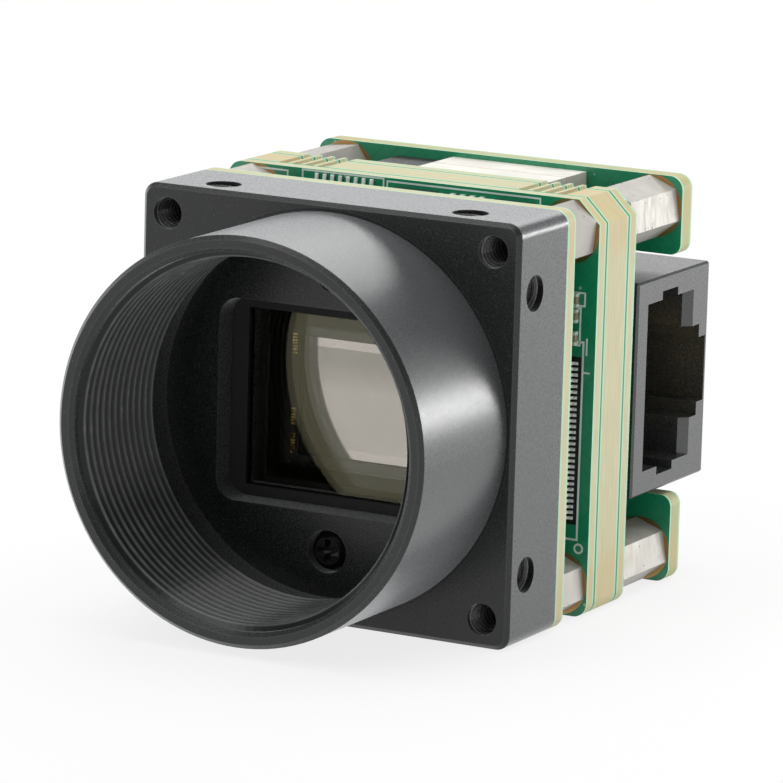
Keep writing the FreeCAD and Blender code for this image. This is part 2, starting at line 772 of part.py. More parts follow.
def gull_leads(label, centre, half_body, reach, seat, rise, ups, width, sides=(1, -1), inward=0.15):
    """Make gull-wing leads whose feet rest on a level and whose roots meet a body's side."""
    body = new_body(label)
    for side in sides:
        for number, up in enumerate(ups):
            name = "lead_%s_%d" % ("right" if side > 0 else "left", number + 1)
            sketch = new_sketch(body, name, "XY_Plane", as_size(up) - as_size(width) / 2)
            thick = lead_thickness
            root = half_body
            knee = root + reach * 0.4
            tip = root + reach
            top = seat + rise
            path = [
                (root, top), (root, top + thick), (knee + thick, top + thick),
                (knee + thick, seat + thick), (tip, seat + thick), (tip, seat),
                (knee, seat), (knee, top)]
            outline(sketch, [(centre + across * side, level) for across, level in path])
            pad(body, sketch, width, reverse=False)
    return body


lead_ups = [transformer_lead_pitch * (number - 5.5) for number in range(12)]
gull_leads("lan_transformer_leads", transformer_centre, transformer_width / 2,
           transformer_lead_reach, core_rear, transformer_lead_rise, lead_ups, transformer_lead_width)

mezzanine_across = mezzanine_left + mezzanine_length / 2
mezzanine_up = mezzanine_top - mezzanine_width / 2
socket = block("mezzanine_socket", core_rear, mezzanine_socket_height,
               [(mezzanine_across, mezzanine_up, mezzanine_length, mezzanine_width)])
sketch = facing(socket, "cavity", core_rear + mezzanine_socket_height)
rectangle(sketch, mezzanine_across, mezzanine_up,
          mezzanine_length - mezzanine_wall * 2, mezzanine_width - mezzanine_wall * 2)
pocket(socket, sketch, mezzanine_tongue + fit_gap, reverse=True)
plug = block("mezzanine_plug", core_rear + mezzanine_socket_height + fit_gap,
             rear_gap - mezzanine_socket_height - fit_gap,
             [(mezzanine_across, mezzanine_up, mezzanine_length, mezzanine_width)])
sketch = facing(plug, "tongue", core_rear + mezzanine_socket_height - mezzanine_tongue + fit_gap)
shrink = mezzanine_wall * 2 + fit_gap * 2
rectangle(sketch, mezzanine_across, mezzanine_up,
          mezzanine_length - shrink, mezzanine_width - shrink)
pad(plug, sketch, mezzanine_tongue)

block("power_inductor", rear_board_front - inductor_height, inductor_height,
      [(inductor_left + inductor_width / 2, inductor_top - inductor_depth / 2,
        inductor_width, inductor_depth)])
block("edge_parts", core_rear, edge_part_height,
      [(edge_part_start + edge_part_pitch * number, edge_part_up, edge_part_width, edge_part_length)
       for number in range(3)], True)

# ---------------------------------------------------------------- rear board
rear_board = new_body("rear_board")
sketch = facing(rear_board, "outline", rear_board_front)
outline(sketch, [
    (-half_side, -half_side), (half_side, -half_side), (half_side, cutout_bottom),
    (cutout_left, cutout_bottom), (cutout_left, cutout_top), (half_side, cutout_top),
    (half_side, half_side), (-half_side, half_side)])
pad(rear_board, sketch, rear_board_thickness)
stack_holes(rear_board, rear_board_front, rear_board_thickness, board_hole_radius)
round_corners(rear_board)
for up in (cutout_bottom, cutout_top):
    dress(rear_board, "Fillet", arm_corner, at_corner(half_side.value, up.value))
    dress(rear_board, "Fillet", cutout_corner, at_corner(cutout_left.value, up.value))

# ---------------------------------------------------------------- network jack
jack_front = core_rear + jack_front_gap
jack_rear = jack_front + jack_height
jack_across = (jack_left + jack_mouth) / 2
jack = block("network_jack", jack_front, jack_height,
             [(jack_across, 0, jack_mouth - jack_left, jack_width)])
dress(jack, "Chamfer", jack_edge_break, lambda edge: True)
throat_start = jack_front + jack_front_wall
throat_end = throat_start + jack_throat
step_end = throat_end + jack_step
latch_end = jack_rear - jack_latch_wall
notch_start = throat_start + jack_notch_start
notch_end = notch_start + jack_notch_length
wide, narrow, latch = jack_throat_width / 2, jack_step_width / 2, jack_latch_width / 2
notch = wide + jack_notch_depth
mouth = new_sketch(jack, "mouth", "YZ_Plane", jack_mouth)
half_mouth = [
    (throat_start, wide), (notch_start, wide), (notch_start, notch), (notch_end, notch),
    (notch_end, wide), (throat_end, wide), (throat_end, narrow), (step_end, narrow),
    (step_end, latch), (latch_end, latch)]
outline(mouth, half_mouth + [(level, -up) for level, up in reversed(half_mouth)])
pocket(jack, mouth, jack_depth)
lead_in = new_sketch(jack, "lead_in", "XY_Plane", -wide)
outline(lead_in, [(jack_mouth, throat_end), (jack_mouth, throat_end + jack_lead_in),
                  (jack_mouth - jack_lead_in, throat_end)])
pocket(jack, lead_in, jack_throat_width, reverse=True)
ledge = facing(jack, "ledge", rear_board_front - jack_ledge_depth)
rectangle(ledge, jack_left - jack_ledge_shift, 0, jack_ledge_width, jack_width - jack_ledge_shift)
pad(jack, ledge, jack_ledge_depth)

contacts = new_body("jack_contacts")
for number in range(8):
    up = contact_pitch * (number - 3.5) - contact_width / 2
    wire = new_sketch(contacts, "wire_%d" % (number + 1), "XY_Plane", up)
    start = jack_mouth - jack_depth
    tip = jack_mouth - contact_setback
    low = throat_start
    outline(wire, [
        (start, low), (tip, low), (tip, low + contact_thickness),
        (tip - contact_nose, low + contact_thickness), (start + contact_root, low + contact_rise),
        (start + contact_root, low + contact_rise_low), (tip - contact_flat, low + contact_thickness),
        (start, low + contact_thickness)])
    pad(contacts, wire, contact_width, reverse=False)

label_body = new_body("jack_label")
sketch = facing(label_body, "outline", jack_rear)
rectangle(sketch, 0, 0, label_side, label_side)
pad(label_body, sketch, label_thickness)
label_half = label_side.value / 2
for across, up in CORNERS:
    dress(label_body, "Fillet", label_corner, at_corner(across * label_half, up * label_half))
label_body.Placement = Placement(Vector(label_across.value, 0, label_up.value),
                                 Rotation(Vector(0, 1, 0), -1.2))

# ---------------------------------------------------------------- rear screws
SCREW_TURNS = (4.0, 22.0, 6.0, 20.0)
for index, (side, height) in enumerate(CORNERS):
    screw = new_body("rear_screw_%d" % (index + 1))
    low = rear_board_rear
    high = low + screw_head_height
    tip = rear_board_front - screw_grip
    turn(screw, "Revolution", "profile", [
        (0, tip), (stud_radius - 0.2, tip), (stud_radius, tip + 0.2), (stud_radius, low),
        (screw_head_radius, low), (screw_head_radius, low + screw_head_rim),
        (screw_head_radius * 0.9, low + screw_head_height * 0.72),
        (screw_head_radius * 0.64, high), (0, high)])
    sketch = facing(screw, "cross", high)
    half, reach = cross_width / 2, cross_span / 2
    outline(sketch, [
        (-half, -reach), (half, -reach), (half, -half), (reach, -half), (reach, half),
        (half, half), (half, reach), (-half, reach), (-half, half), (-reach, half),
        (-reach, -half), (-half, -half)])
    pocket(screw, sketch, cross_depth, reverse=True)
    across, up = stack_hole_offset * side, stack_hole_offset * height
    screw.Placement = Placement(Vector(across.value, 0, up.value),
                                Rotation(Vector(0, 1, 0), SCREW_TURNS[index]))
    screw.setExpression("Placement.Base.x", across.text)
    screw.setExpression("Placement.Base.z", up.text)

# ---------------------------------------------------------------- parts on the rear board
top = rear_board_rear
block("power_chip", top + power_chip_lift, power_chip_height,
      [(power_chip_across, power_chip_up, power_chip_width, power_chip_length)], True)
ups = [power_chip_up + power_lead_pitch * (number - 1.5) for number in range(4)]
gull_leads("power_chip_leads", power_chip_across, power_chip_width / 2, power_lead_reach,
           top, power_lead_rise, ups, power_lead_width)

bridge_leads = []
for number, across in ((1, bridge_one_across), (2, bridge_two_across)):
    block("bridge_rectifier_%d" % number, top, bridge_height,
          [(across, bridge_up, bridge_width, bridge_length)], True)
    for side in (-1, 1):
        for end in (-1, 1):
            bridge_leads.append((across + bridge_lead_pitch * (side / 2),
                                 bridge_up + (bridge_length + bridge_lead_reach) / 2 * end,
                                 bridge_lead_width, bridge_lead_reach))
block("bridge_leads", top, bridge_lead_height, bridge_leads)

block("surge_diode", top, surge_height, [(surge_across, surge_up, surge_width, surge_length)], True)
block("surge_diode_ends", top, surge_lead_height,
      [(surge_across + (surge_width + surge_lead_reach) / 2 * side, surge_up,
        surge_lead_reach, surge_lead_width) for side in (-1, 1)], True)

block("diode_row", top, diode_height,
      [(across, diode_up, diode_width, diode_length) for across in diode_places], True)
block("diode_row_ends", top, diode_lead_height,
      [(across, diode_up + (diode_length + diode_lead_reach) / 2 * end,
        diode_lead_width, diode_lead_reach) for across in diode_places for end in (-1, 1)])


def capped(label, height, pieces):
    """Make chip parts and their metal ends; each piece is (x, z, width, length, end, upright)."""
    middles, ends = [], []
    for across, up, width, length, end, upright in pieces:
        across, up, length = as_size(across), as_size(up), as_size(length)
        shift = (length - end) / 2
        if upright:
            middles.append((across, up, width, length - end * 2))
            ends += [(across, up + shift * side, width, end) for side in (-1, 1)]
        else:
            middles.append((across, up, length - end * 2, width))
            ends += [(across + shift * side, up, end, width) for side in (-1, 1)]
    block(label, top, height, middles)
    block(label + "_ends", top, height, ends, True)


capped("large_capacitors", large_cap_height, [
    (large_cap_across, up, large_cap_width, large_cap_length, cap_end, True)
    for up in (large_cap_one_up, large_cap_two_up)])
capped("middle_capacitors", middle_cap_height, [
    (across, up, middle_cap_width, middle_cap_length, cap_end, False)
    for across, up in middle_cap_places])
capped("chip_resistors", resistor_height, [
    (small_resistor_across, small_resistor_up, small_resistor_width, small_resistor_length,
     cap_end * 0.7, False),
    (large_resistor_across, large_resistor_up, large_resistor_width, large_resistor_length,
     cap_end * 0.8, True)])
capped("small_capacitors", small_cap_height, [
    (across, up, small_cap_width, small_cap_length, cap_end * 0.5, False)
    for across, up in small_cap_places])

# ---------------------------------------------------------------- finish
doc.recompute()
os.makedirs("parts", exist_ok=True)
for item in doc.Objects:
    if "Invalid" in item.State or "Error" in item.State:
        raise RuntimeError("%s did not build: %s" % (item.Label, item.State))
for body in parts:
    shape = body.Shape
    if shape.isNull() or not shape.isValid():
        raise RuntimeError("%s is not a sound solid" % body.Label)
    shape.exportStep("parts/%s.step" % body.Label)
    print(body.Label, len(shape.Solids), round(shape.Volume, 2))
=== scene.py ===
"""Looks of a board-level machine vision camera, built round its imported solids.

Every length in a class is in millimetres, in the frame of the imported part: the lens mount's flange
face is at y = 0, the boards follow towards +Y, and the network jack opens towards +X. Only these are
in metres: the studio's panels, floor and clip distances, and the noise scales and wear radii of the
finishes.
"""

from __future__ import annotations

import json
import logging
import math
import random
from collections.abc import Callable, Sequence
from dataclasses import dataclass
from enum import Enum

import bmesh
import bpy
from mathutils import Matrix, Vector

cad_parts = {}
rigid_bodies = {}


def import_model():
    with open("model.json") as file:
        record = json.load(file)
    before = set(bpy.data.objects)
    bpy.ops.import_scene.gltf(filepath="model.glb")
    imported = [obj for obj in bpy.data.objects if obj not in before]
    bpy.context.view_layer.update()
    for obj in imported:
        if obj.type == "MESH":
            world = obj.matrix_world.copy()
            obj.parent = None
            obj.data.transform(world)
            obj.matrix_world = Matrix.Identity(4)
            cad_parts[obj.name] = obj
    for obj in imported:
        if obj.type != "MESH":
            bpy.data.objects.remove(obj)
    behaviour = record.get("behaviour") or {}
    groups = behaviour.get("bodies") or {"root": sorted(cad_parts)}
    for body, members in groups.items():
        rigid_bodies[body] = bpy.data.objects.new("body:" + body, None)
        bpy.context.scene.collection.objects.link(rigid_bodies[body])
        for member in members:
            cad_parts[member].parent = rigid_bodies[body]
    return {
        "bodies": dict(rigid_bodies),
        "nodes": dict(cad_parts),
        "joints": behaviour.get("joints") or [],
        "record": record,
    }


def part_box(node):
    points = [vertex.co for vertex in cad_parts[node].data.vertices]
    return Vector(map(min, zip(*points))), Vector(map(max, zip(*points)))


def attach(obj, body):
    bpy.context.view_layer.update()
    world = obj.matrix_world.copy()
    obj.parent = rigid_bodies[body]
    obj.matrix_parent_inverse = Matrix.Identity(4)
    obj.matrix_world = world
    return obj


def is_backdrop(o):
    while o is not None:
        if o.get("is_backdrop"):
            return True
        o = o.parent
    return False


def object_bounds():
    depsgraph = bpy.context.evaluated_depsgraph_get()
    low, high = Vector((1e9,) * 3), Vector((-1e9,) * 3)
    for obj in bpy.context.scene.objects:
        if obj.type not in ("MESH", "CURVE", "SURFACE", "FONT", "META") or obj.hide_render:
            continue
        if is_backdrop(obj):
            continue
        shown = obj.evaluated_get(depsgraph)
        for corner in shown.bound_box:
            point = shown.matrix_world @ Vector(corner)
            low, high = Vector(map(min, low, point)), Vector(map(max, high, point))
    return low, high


LOG = logging.getLogger("vision_camera")
MM = 0.001
Point = tuple[float, float, float]
Place = tuple[float, float]
Patch = tuple[float, float, float, float]
Colour = tuple[float, float, float]


class Face(Enum):
    """The face of a board that a mark or part lies on, as its direction along Y."""

    REAR = 1
    FRONT = -1


def level_of(node: str, corner: int) -> float:
    """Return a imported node's front (0) or rear (1) level along Y."""
    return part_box(node)[corner][1] / MM


@dataclass(frozen=True)
class Levels:
    """Levels of the stack along Y: the front and rear face of each board."""

    sensor_front: float
    sensor_rear: float
    core_front: float
    front_seam: float
    rear_seam: float
    core_rear: float
    rear_front: float
    rear_face: float
    plate_front: float = 11.75

    @classmethod
    def read(cls) -> Levels:
        """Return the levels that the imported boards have."""
        boards = ("sensor_board", "core_front_board", "core_rear_board", "rear_board")
        return cls(*(level_of(board, corner) for board in boards for corner in (0, 1)))

    def seen_faces(self) -> tuple[float, ...]:
        """Return the levels of the faces that carry solder mask."""
        return (self.sensor_front, self.sensor_rear, self.core_front, self.core_rear,
                self.rear_front, self.rear_face)


# ------------------------------------------------------------------ shader building


def scaled(colour: Colour, factor: float) -> Colour:
    """Return a colour made darker or lighter, up to white."""
    return tuple(min(1.0, c * factor) for c in colour)


class NodeWork:
    """A shader node tree with short calls to add and join nodes."""

    def __init__(self, tree: bpy.types.NodeTree) -> None:
        """Take a tree and empty it."""
        self.tree = tree
        self.tree.nodes.clear()

    def node(self, kind: str, **settings: object) -> bpy.types.Node:
        """Add a node and set its plain properties.

        Args:
            kind: The node's type name without its ShaderNode prefix.
            settings: Properties of the node by name.

        Returns:
            The new node.
        """
        made = self.tree.nodes.new("ShaderNode" + kind)
        for key, value in settings.items():
            setattr(made, key, value)
        return made

    def join(self, source: bpy.types.NodeSocket, target: bpy.types.NodeSocket) -> None:
        """Link one socket to another."""
        self.tree.links.new(source, target)

    def fill(self, target: bpy.types.NodeSocket, value: object) -> None:
        """Link a socket to a target, or set the target's own value.

        Args:
            target: The socket to feed.
            value: A socket, a number, a colour or a vector.
        """
        if isinstance(value, bpy.types.NodeSocket):
            self.join(value, target)
        elif isinstance(value, tuple) and len(value) == 3 and target.type == "RGBA":
            target.default_value = (*value, 1.0)
        else:
            target.default_value = value

    def math(self, operation: str, first: object, second: object = 0.0) -> bpy.types.NodeSocket:
        """Work out a number from one or two others.

        Args:
            operation: The Math node's operation.
            first: A socket or a number.
            second: A socket or a number, where the operation takes two.

        Returns:
            The result.
        """
        made = self.node("Math", operation=operation)
        self.fill(made.inputs[0], first)
        self.fill(made.inputs[1], second)
        return made.outputs[0]

    def length(self, first: bpy.types.NodeSocket, second: bpy.types.NodeSocket) -> bpy.types.NodeSocket:
        """Return the length of a flat vector.

        Args:
            first: Its one part.
            second: Its other part.

        Returns:
            The length.
        """
        squares = [self.math("MULTIPLY", part, part) for part in (first, second)]
        return self.math("SQRT", self.math("ADD", *squares))

    def mix(self, kind: str, factor: object, first: object, second: object) -> bpy.types.NodeSocket:
        """Mix two colours or two shaders.

        Args:
            kind: "Mix" for colours or "MixShader" for shaders.
            factor: How much of the second there is.
            first: The first colour or shader.
            second: The second colour or shader.

        Returns:
            The result.
        """
        made = self.node(kind)
        slots, outcome = (1, 2), 0
        if kind == "Mix":
            made.data_type = "RGBA"
            slots, outcome = (6, 7), 2
        self.fill(made.inputs[0], factor)
        self.fill(made.inputs[slots[0]], first)
        self.fill(made.inputs[slots[1]], second)
        return made.outputs[outcome]

    def blend(self, factor: object, first: object, second: object) -> bpy.types.NodeSocket:
        """Mix two colours and return the result."""
        return self.mix("Mix", factor, first, second)

    def span(self, value: object, low: float, high: float, out_low: float = 0.0,
             out_high: float = 1.0) -> bpy.types.NodeSocket:
        """Map a value from one range to another, clamped.

        Args:
            value: The value to map.
            low: The value that gives out_low.
            high: The value that gives out_high.
            out_low: One end of the result.
            out_high: Its other end.

        Returns:
            The mapped value.
        """
        made = self.node("MapRange")
        ends = {"Value": value, "From Min": low, "From Max": high, "To Min": out_low, "To Max": out_high}
        for key, end in ends.items():
            self.fill(made.inputs[key], end)
        return made.outputs["Result"]

    def place(self) -> bpy.types.NodeSocket:
        """Return the surface point in the object's own coordinates."""
        return self.node("TexCoord").outputs["Object"]

    def mapped(self, **values: Point) -> bpy.types.NodeSocket:
        """Turn or stretch the surface point by a Mapping node.

        Args:
            values: The Mapping node's inputs by name.

        Returns:
            The changed point.
        """
        made = self.node("Mapping")
        self.join(self.place(), made.inputs["Vector"])
        for key, value in values.items():
            made.inputs[key].default_value = value
        return made.outputs["Vector"]

    def noise(self, place: bpy.types.NodeSocket, scale: object, detail: float) -> bpy.types.NodeSocket:
        """Add a noise texture.

        Args:
            place: The point at which it is read.
            scale: A socket or a number.
            detail: How many octaves it has.

        Returns:
            Its value, from 0 to 1.
        """
        made = self.node("TexNoise")
        made.inputs["Detail"].default_value = detail
        self.join(place, made.inputs["Vector"])
        self.fill(made.inputs["Scale"], scale)
        return made.outputs["Fac"]

    def parts(self, vector: bpy.types.NodeSocket) -> tuple[bpy.types.NodeSocket, ...]:
        """Split a vector.

        Args:
            vector: The vector.

        Returns:
            Its three numbers.
        """
        made = self.node("SeparateXYZ")
        self.join(vector, made.inputs[0])
        return tuple(made.outputs)


class Wiring(NodeWork):
    """A material's node tree, with the calls that only a material needs."""

    def __init__(self, name: str) -> None:
        """Start a material that has only a Principled shader.

        Args:
            name: The material's name.
        """
        self.material = bpy.data.materials.new(name)
        self.material.use_nodes = True
        super().__init__(self.material.node_tree)
        self.output = self.node("OutputMaterial")
        self.shader = self.node("BsdfPrincipled")
        self.join(self.shader.outputs["BSDF"], self.output.inputs["Surface"])

    def plain(self, **values: object) -> None:
        """Set the shader's own sockets; underscores stand for the spaces in their names."""
        for key, value in values.items():
            self.fill(self.shader.inputs[key.replace("_", " ")], value)

    def group(self, tree: bpy.types.NodeTree, **values: object) -> bpy.types.Node:
        """Place a shared node group.

        Args:
            tree: The group.
            values: Its inputs by name.

        Returns:
            The group's node.
        """
        made = self.node("Group")
        made.node_tree = tree
        for key, value in values.items():
            self.fill(made.inputs[key], value)
        return made

    def mask(self, tree: bpy.types.NodeTree, **values: object) -> bpy.types.NodeSocket:
        """Place a shared node group and return its mask."""
        return self.group(tree, **values).outputs["Mask"]

    def roughness(self, mask: bpy.types.NodeSocket, low: float, high: float) -> None:
        """Let the roughness follow a mask from one value to another."""
        self.plain(Roughness=self.span(mask, 0.0, 1.0, low, high))

    def bump(self, height: bpy.types.NodeSocket, strength: float, distance: float) -> None:
        """Feed a height through a Bump node into the shader's normal.

        Args:
            height: The height to follow.
            strength: How much of it shows, from 0 to 1.
            distance: The height of a full step, in millimetres.
        """
        made = self.node("Bump")
        made.inputs["Strength"].default_value = strength
        made.inputs["Distance"].default_value = distance * MM
        self.join(height, made.inputs["Height"])
        self.join(made.outputs["Normal"], self.shader.inputs["Normal"])


class GroupWork(NodeWork):
    """A shared node group with float sockets."""

    def __init__(self, name: str, outputs: Sequence[str], **inputs: float) -> None:
        """Start an empty group.

        Args:
            name: The group's name.
            outputs: Name of each output.
            inputs: Default of each input by name.
        """
        super().__init__(bpy.data.node_groups.new(name, "ShaderNodeTree"))
        face = self.tree.interface
        for label, default in inputs.items():
            socket = face.new_socket(label, in_out="INPUT", socket_type="NodeSocketFloat")
            socket.default_value = default
        for label in outputs:
            face.new_socket(label, in_out="OUTPUT", socket_type="NodeSocketFloat")
        self.entry = self.tree.nodes.new("NodeGroupInput")
        self.result = self.tree.nodes.new("NodeGroupOutput")

    def give(self, **values: bpy.types.NodeSocket) -> bpy.types.NodeTree:
        """Feed the group's outputs.

        Args:
            values: What feeds each output by name.

        Returns:
            The group's tree.
        """
        for key, value in values.items():
            self.join(value, self.result.inputs[key])
        return self.tree


class SharedGroups:
    """The shader node groups that several finishes use, each built once."""

    def __init__(self) -> None:
        """Build every group."""
        self.grain = self._grain()
        self.specks = self._specks()
        self.mottle = self._mottle()
        self.wear_and_highlight = self._wear_and_highlight()

    def _grain(self) -> bpy.types.NodeTree:
        """Build the even fine grain of blasted metal and moulded plastic.

        Returns:
            The group.
        """
        work = GroupWork("Fine grain", ("Mask", "Height"), Scale=9000.0)
        noise = work.noise(work.place(), work.entry.outputs["Scale"], 2.0)
        return work.give(Mask=work.span(noise, 0.35, 0.65), Height=noise)

    def _specks(self) -> bpy.types.NodeTree:
        """Build sparse bright specks, such as blasting sparkle and dust.

        Returns:
            The group.
        """
        work = GroupWork("Specks", ("Mask",), Scale=6000.0, Amount=0.1)
        cells = work.node("TexVoronoi")
        tone = work.node("SeparateColor")
        work.join(work.place(), cells.inputs["Vector"])
        work.join(work.entry.outputs["Scale"], cells.inputs["Scale"])
        work.join(cells.outputs["Color"], tone.inputs[0])
        picked = work.math("LESS_THAN", tone.outputs[0], work.entry.outputs["Amount"])
        near = work.math("LESS_THAN", cells.outputs["Distance"], 0.3)
        return work.give(Mask=work.math("MULTIPLY", picked, near))

    def _mottle(self) -> bpy.types.NodeTree:
        """Build slow, broad variation of tone.

        Returns:
            The group.
        """
        work = GroupWork("Mottle", ("Mask",), Scale=300.0)
        noise = work.noise(work.place(), work.entry.outputs["Scale"], 4.0)
        return work.give(Mask=work.span(noise, 0.3, 0.7))

    def _wear_and_highlight(self) -> bpy.types.NodeTree:
        """Build a mask that is 1 on convex edges, where the finishes paint both wear and edge highlights.

        Returns:
            The group.
        """
        work = GroupWork("Edge_wear_and_painted_highlight", ("Mask",), Radius=0.00008)
        rounded = work.node("Bevel", samples=4)
        dot = work.node("VectorMath", operation="DOT_PRODUCT")
        work.join(work.entry.outputs["Radius"], rounded.inputs["Radius"])
        work.join(rounded.outputs["Normal"], dot.inputs[0])
        work.join(work.node("NewGeometry").outputs["Normal"], dot.inputs[1])
        return work.give(Mask=work.span(dot.outputs["Value"], 0.985, 0.9))


@dataclass(frozen=True)
class AnodisedAluminium:
    """Black anodising over a bead-blasted surface, with pale edges that are partly broken-edge wear and
    partly painted highlight.
    """

    name: str = "black_anodising"
    colour: Colour = (0.008, 0.0095, 0.0095)
    # Colour of the pale edges: partly wear, partly painted highlight.
    edge: Colour = (0.05, 0.053, 0.052)
    roughness: float = 0.22
    sparkle: float = 0.12
    specular: float = 0.5
    speck: Colour = (0.035, 0.038, 0.037)
    pore_shade: float = 0.6
    grain_scale: float = 9000.0
    roughness_spread: float = 0.14

    def build(self, groups: SharedGroups) -> bpy.types.Material:
        """Build the material.

        Args:
            groups: The shared node groups.

        Returns:
            The material.
        """
        w = Wiring(self.name)
        grain = w.group(groups.grain, Scale=self.grain_scale)
        specks = w.mask(groups.specks, Scale=5500.0, Amount=self.sparkle)
        base = w.blend(grain.outputs["Mask"], scaled(self.colour, self.pore_shade), self.colour)
        bright = w.blend(specks, base, self.speck)
        # Pale convex edges: partly wear, partly painted edge highlight.
        w.plain(Base_Color=w.blend(w.mask(groups.wear_and_highlight, Radius=0.00012), bright, self.edge))
        w.roughness(grain.outputs["Mask"], self.roughness, self.roughness + self.roughness_spread)
        w.plain(IOR=1.5, Specular_IOR_Level=self.specular)
        w.plain(Sheen_Weight=0.62, Sheen_Roughness=0.4, Sheen_Tint=(0.95, 0.97, 1.0))
        w.bump(grain.outputs["Height"], 0.35, 0.02)
        return w.material


@dataclass(frozen=True)
class AnodisedThread:
    """The lens thread: dark flanks, and crests painted paler as highlight, broken up by a mottle."""

    name: str = "thread_anodising"
    colour: Colour = (0.004, 0.005, 0.005)
    # Colour of the painted highlight on the crests.
    crest: Colour = (0.11, 0.12, 0.115)
    crest_radius: float = 12.33
    flank_radius: float = 12.43
    least_crest_highlight: float = 0.55

    def build(self, groups: SharedGroups) -> bpy.types.Material:
        """Build the material.

        Args:
            groups: The shared node groups.

        Returns:
            The material.
        """
        w = Wiring(self.name)
        x, _, z = w.parts(w.place())
        # Painted highlight on the crests, weakened in patches.
        crest_highlight = w.span(w.length(x, z), self.flank_radius * MM, self.crest_radius * MM)
        mottle = w.mask(groups.mottle, Scale=700.0)
        crest_highlight = w.math("MULTIPLY", crest_highlight, w.span(mottle, 0.0, 1.0, self.least_crest_highlight, 1.0))
        w.plain(Base_Color=w.blend(crest_highlight, self.colour, self.crest))
        w.roughness(mottle, 0.2, 0.28)
        w.plain(IOR=1.5, Specular_IOR_Level=0.3)
        return w.material


@dataclass(frozen=True)
class Moulded:
    """Moulded plastic or ceramic with a fine grain, and paler edges that are partly wear and partly painted
    highlight.
    """

    name: str
    colour: Colour
    roughness: float = 0.45
    grain_scale: float = 7000.0
    relief: float = 0.2
    edge_wear_and_highlight_gain: float = 1.6
    specular: float = 0.5
    mottle_shade: float = 0.82
    roughness_spread: float = 0.06

    def build(self, groups: SharedGroups) -> bpy.types.Material:
        """Build the material.

        Args:
            groups: The shared node groups.

        Returns:
            The material.
        """
        w = Wiring(self.name)
        grain = w.group(groups.grain, Scale=self.grain_scale)
        mottle = w.mask(groups.mottle, Scale=450.0)
        base = w.blend(mottle, scaled(self.colour, self.mottle_shade), self.colour)
        # Paler convex edges: partly wear, partly painted highlight.
        edge = scaled(self.colour, self.edge_wear_and_highlight_gain)
        w.plain(Base_Color=w.blend(w.mask(groups.wear_and_highlight, Radius=0.00006), base, edge))
        w.roughness(grain.outputs["Mask"], self.roughness - self.roughness_spread,
                    self.roughness + self.roughness_spread)
        w.plain(Specular_IOR_Level=self.specular)
        w.bump(grain.outputs["Height"], self.relief, 0.015)
        return w.material


@dataclass(frozen=True)
class BareMetal:
    """Plated or tinned metal with slow waviness and small dark pits."""

    name: str
    colour: Colour
    roughness: float = 0.28
    wave_scale: float = 1500.0
    relief: float = 0.3
    stretch: Point = (1.0, 1.0, 1.0)
    metallic: float = 1.0
    mottle_shade: float = 0.86
    pit_shade: float = 0.4

    def build(self, groups: SharedGroups) -> bpy.types.Material:
        """Build the material.

        Args:
            groups: The shared node groups.

        Returns:
            The material.
        """
        w = Wiring(self.name)
        waves = w.noise(w.mapped(Scale=self.stretch), self.wave_scale, 3.0)
        pits = w.mask(groups.specks, Scale=3500.0, Amount=0.05)
        mottle = w.mask(groups.mottle, Scale=700.0)
        base = w.blend(mottle, scaled(self.colour, self.mottle_shade), self.colour)
        w.plain(Base_Color=w.blend(pits, base, scaled(self.colour, self.pit_shade)))
        w.plain(Metallic=self.metallic)
        w.plain(Roughness=w.span(waves, 0.3, 0.7, self.roughness - 0.08, self.roughness + 0.1))
        w.bump(waves, self.relief, 0.01)
        return w.material


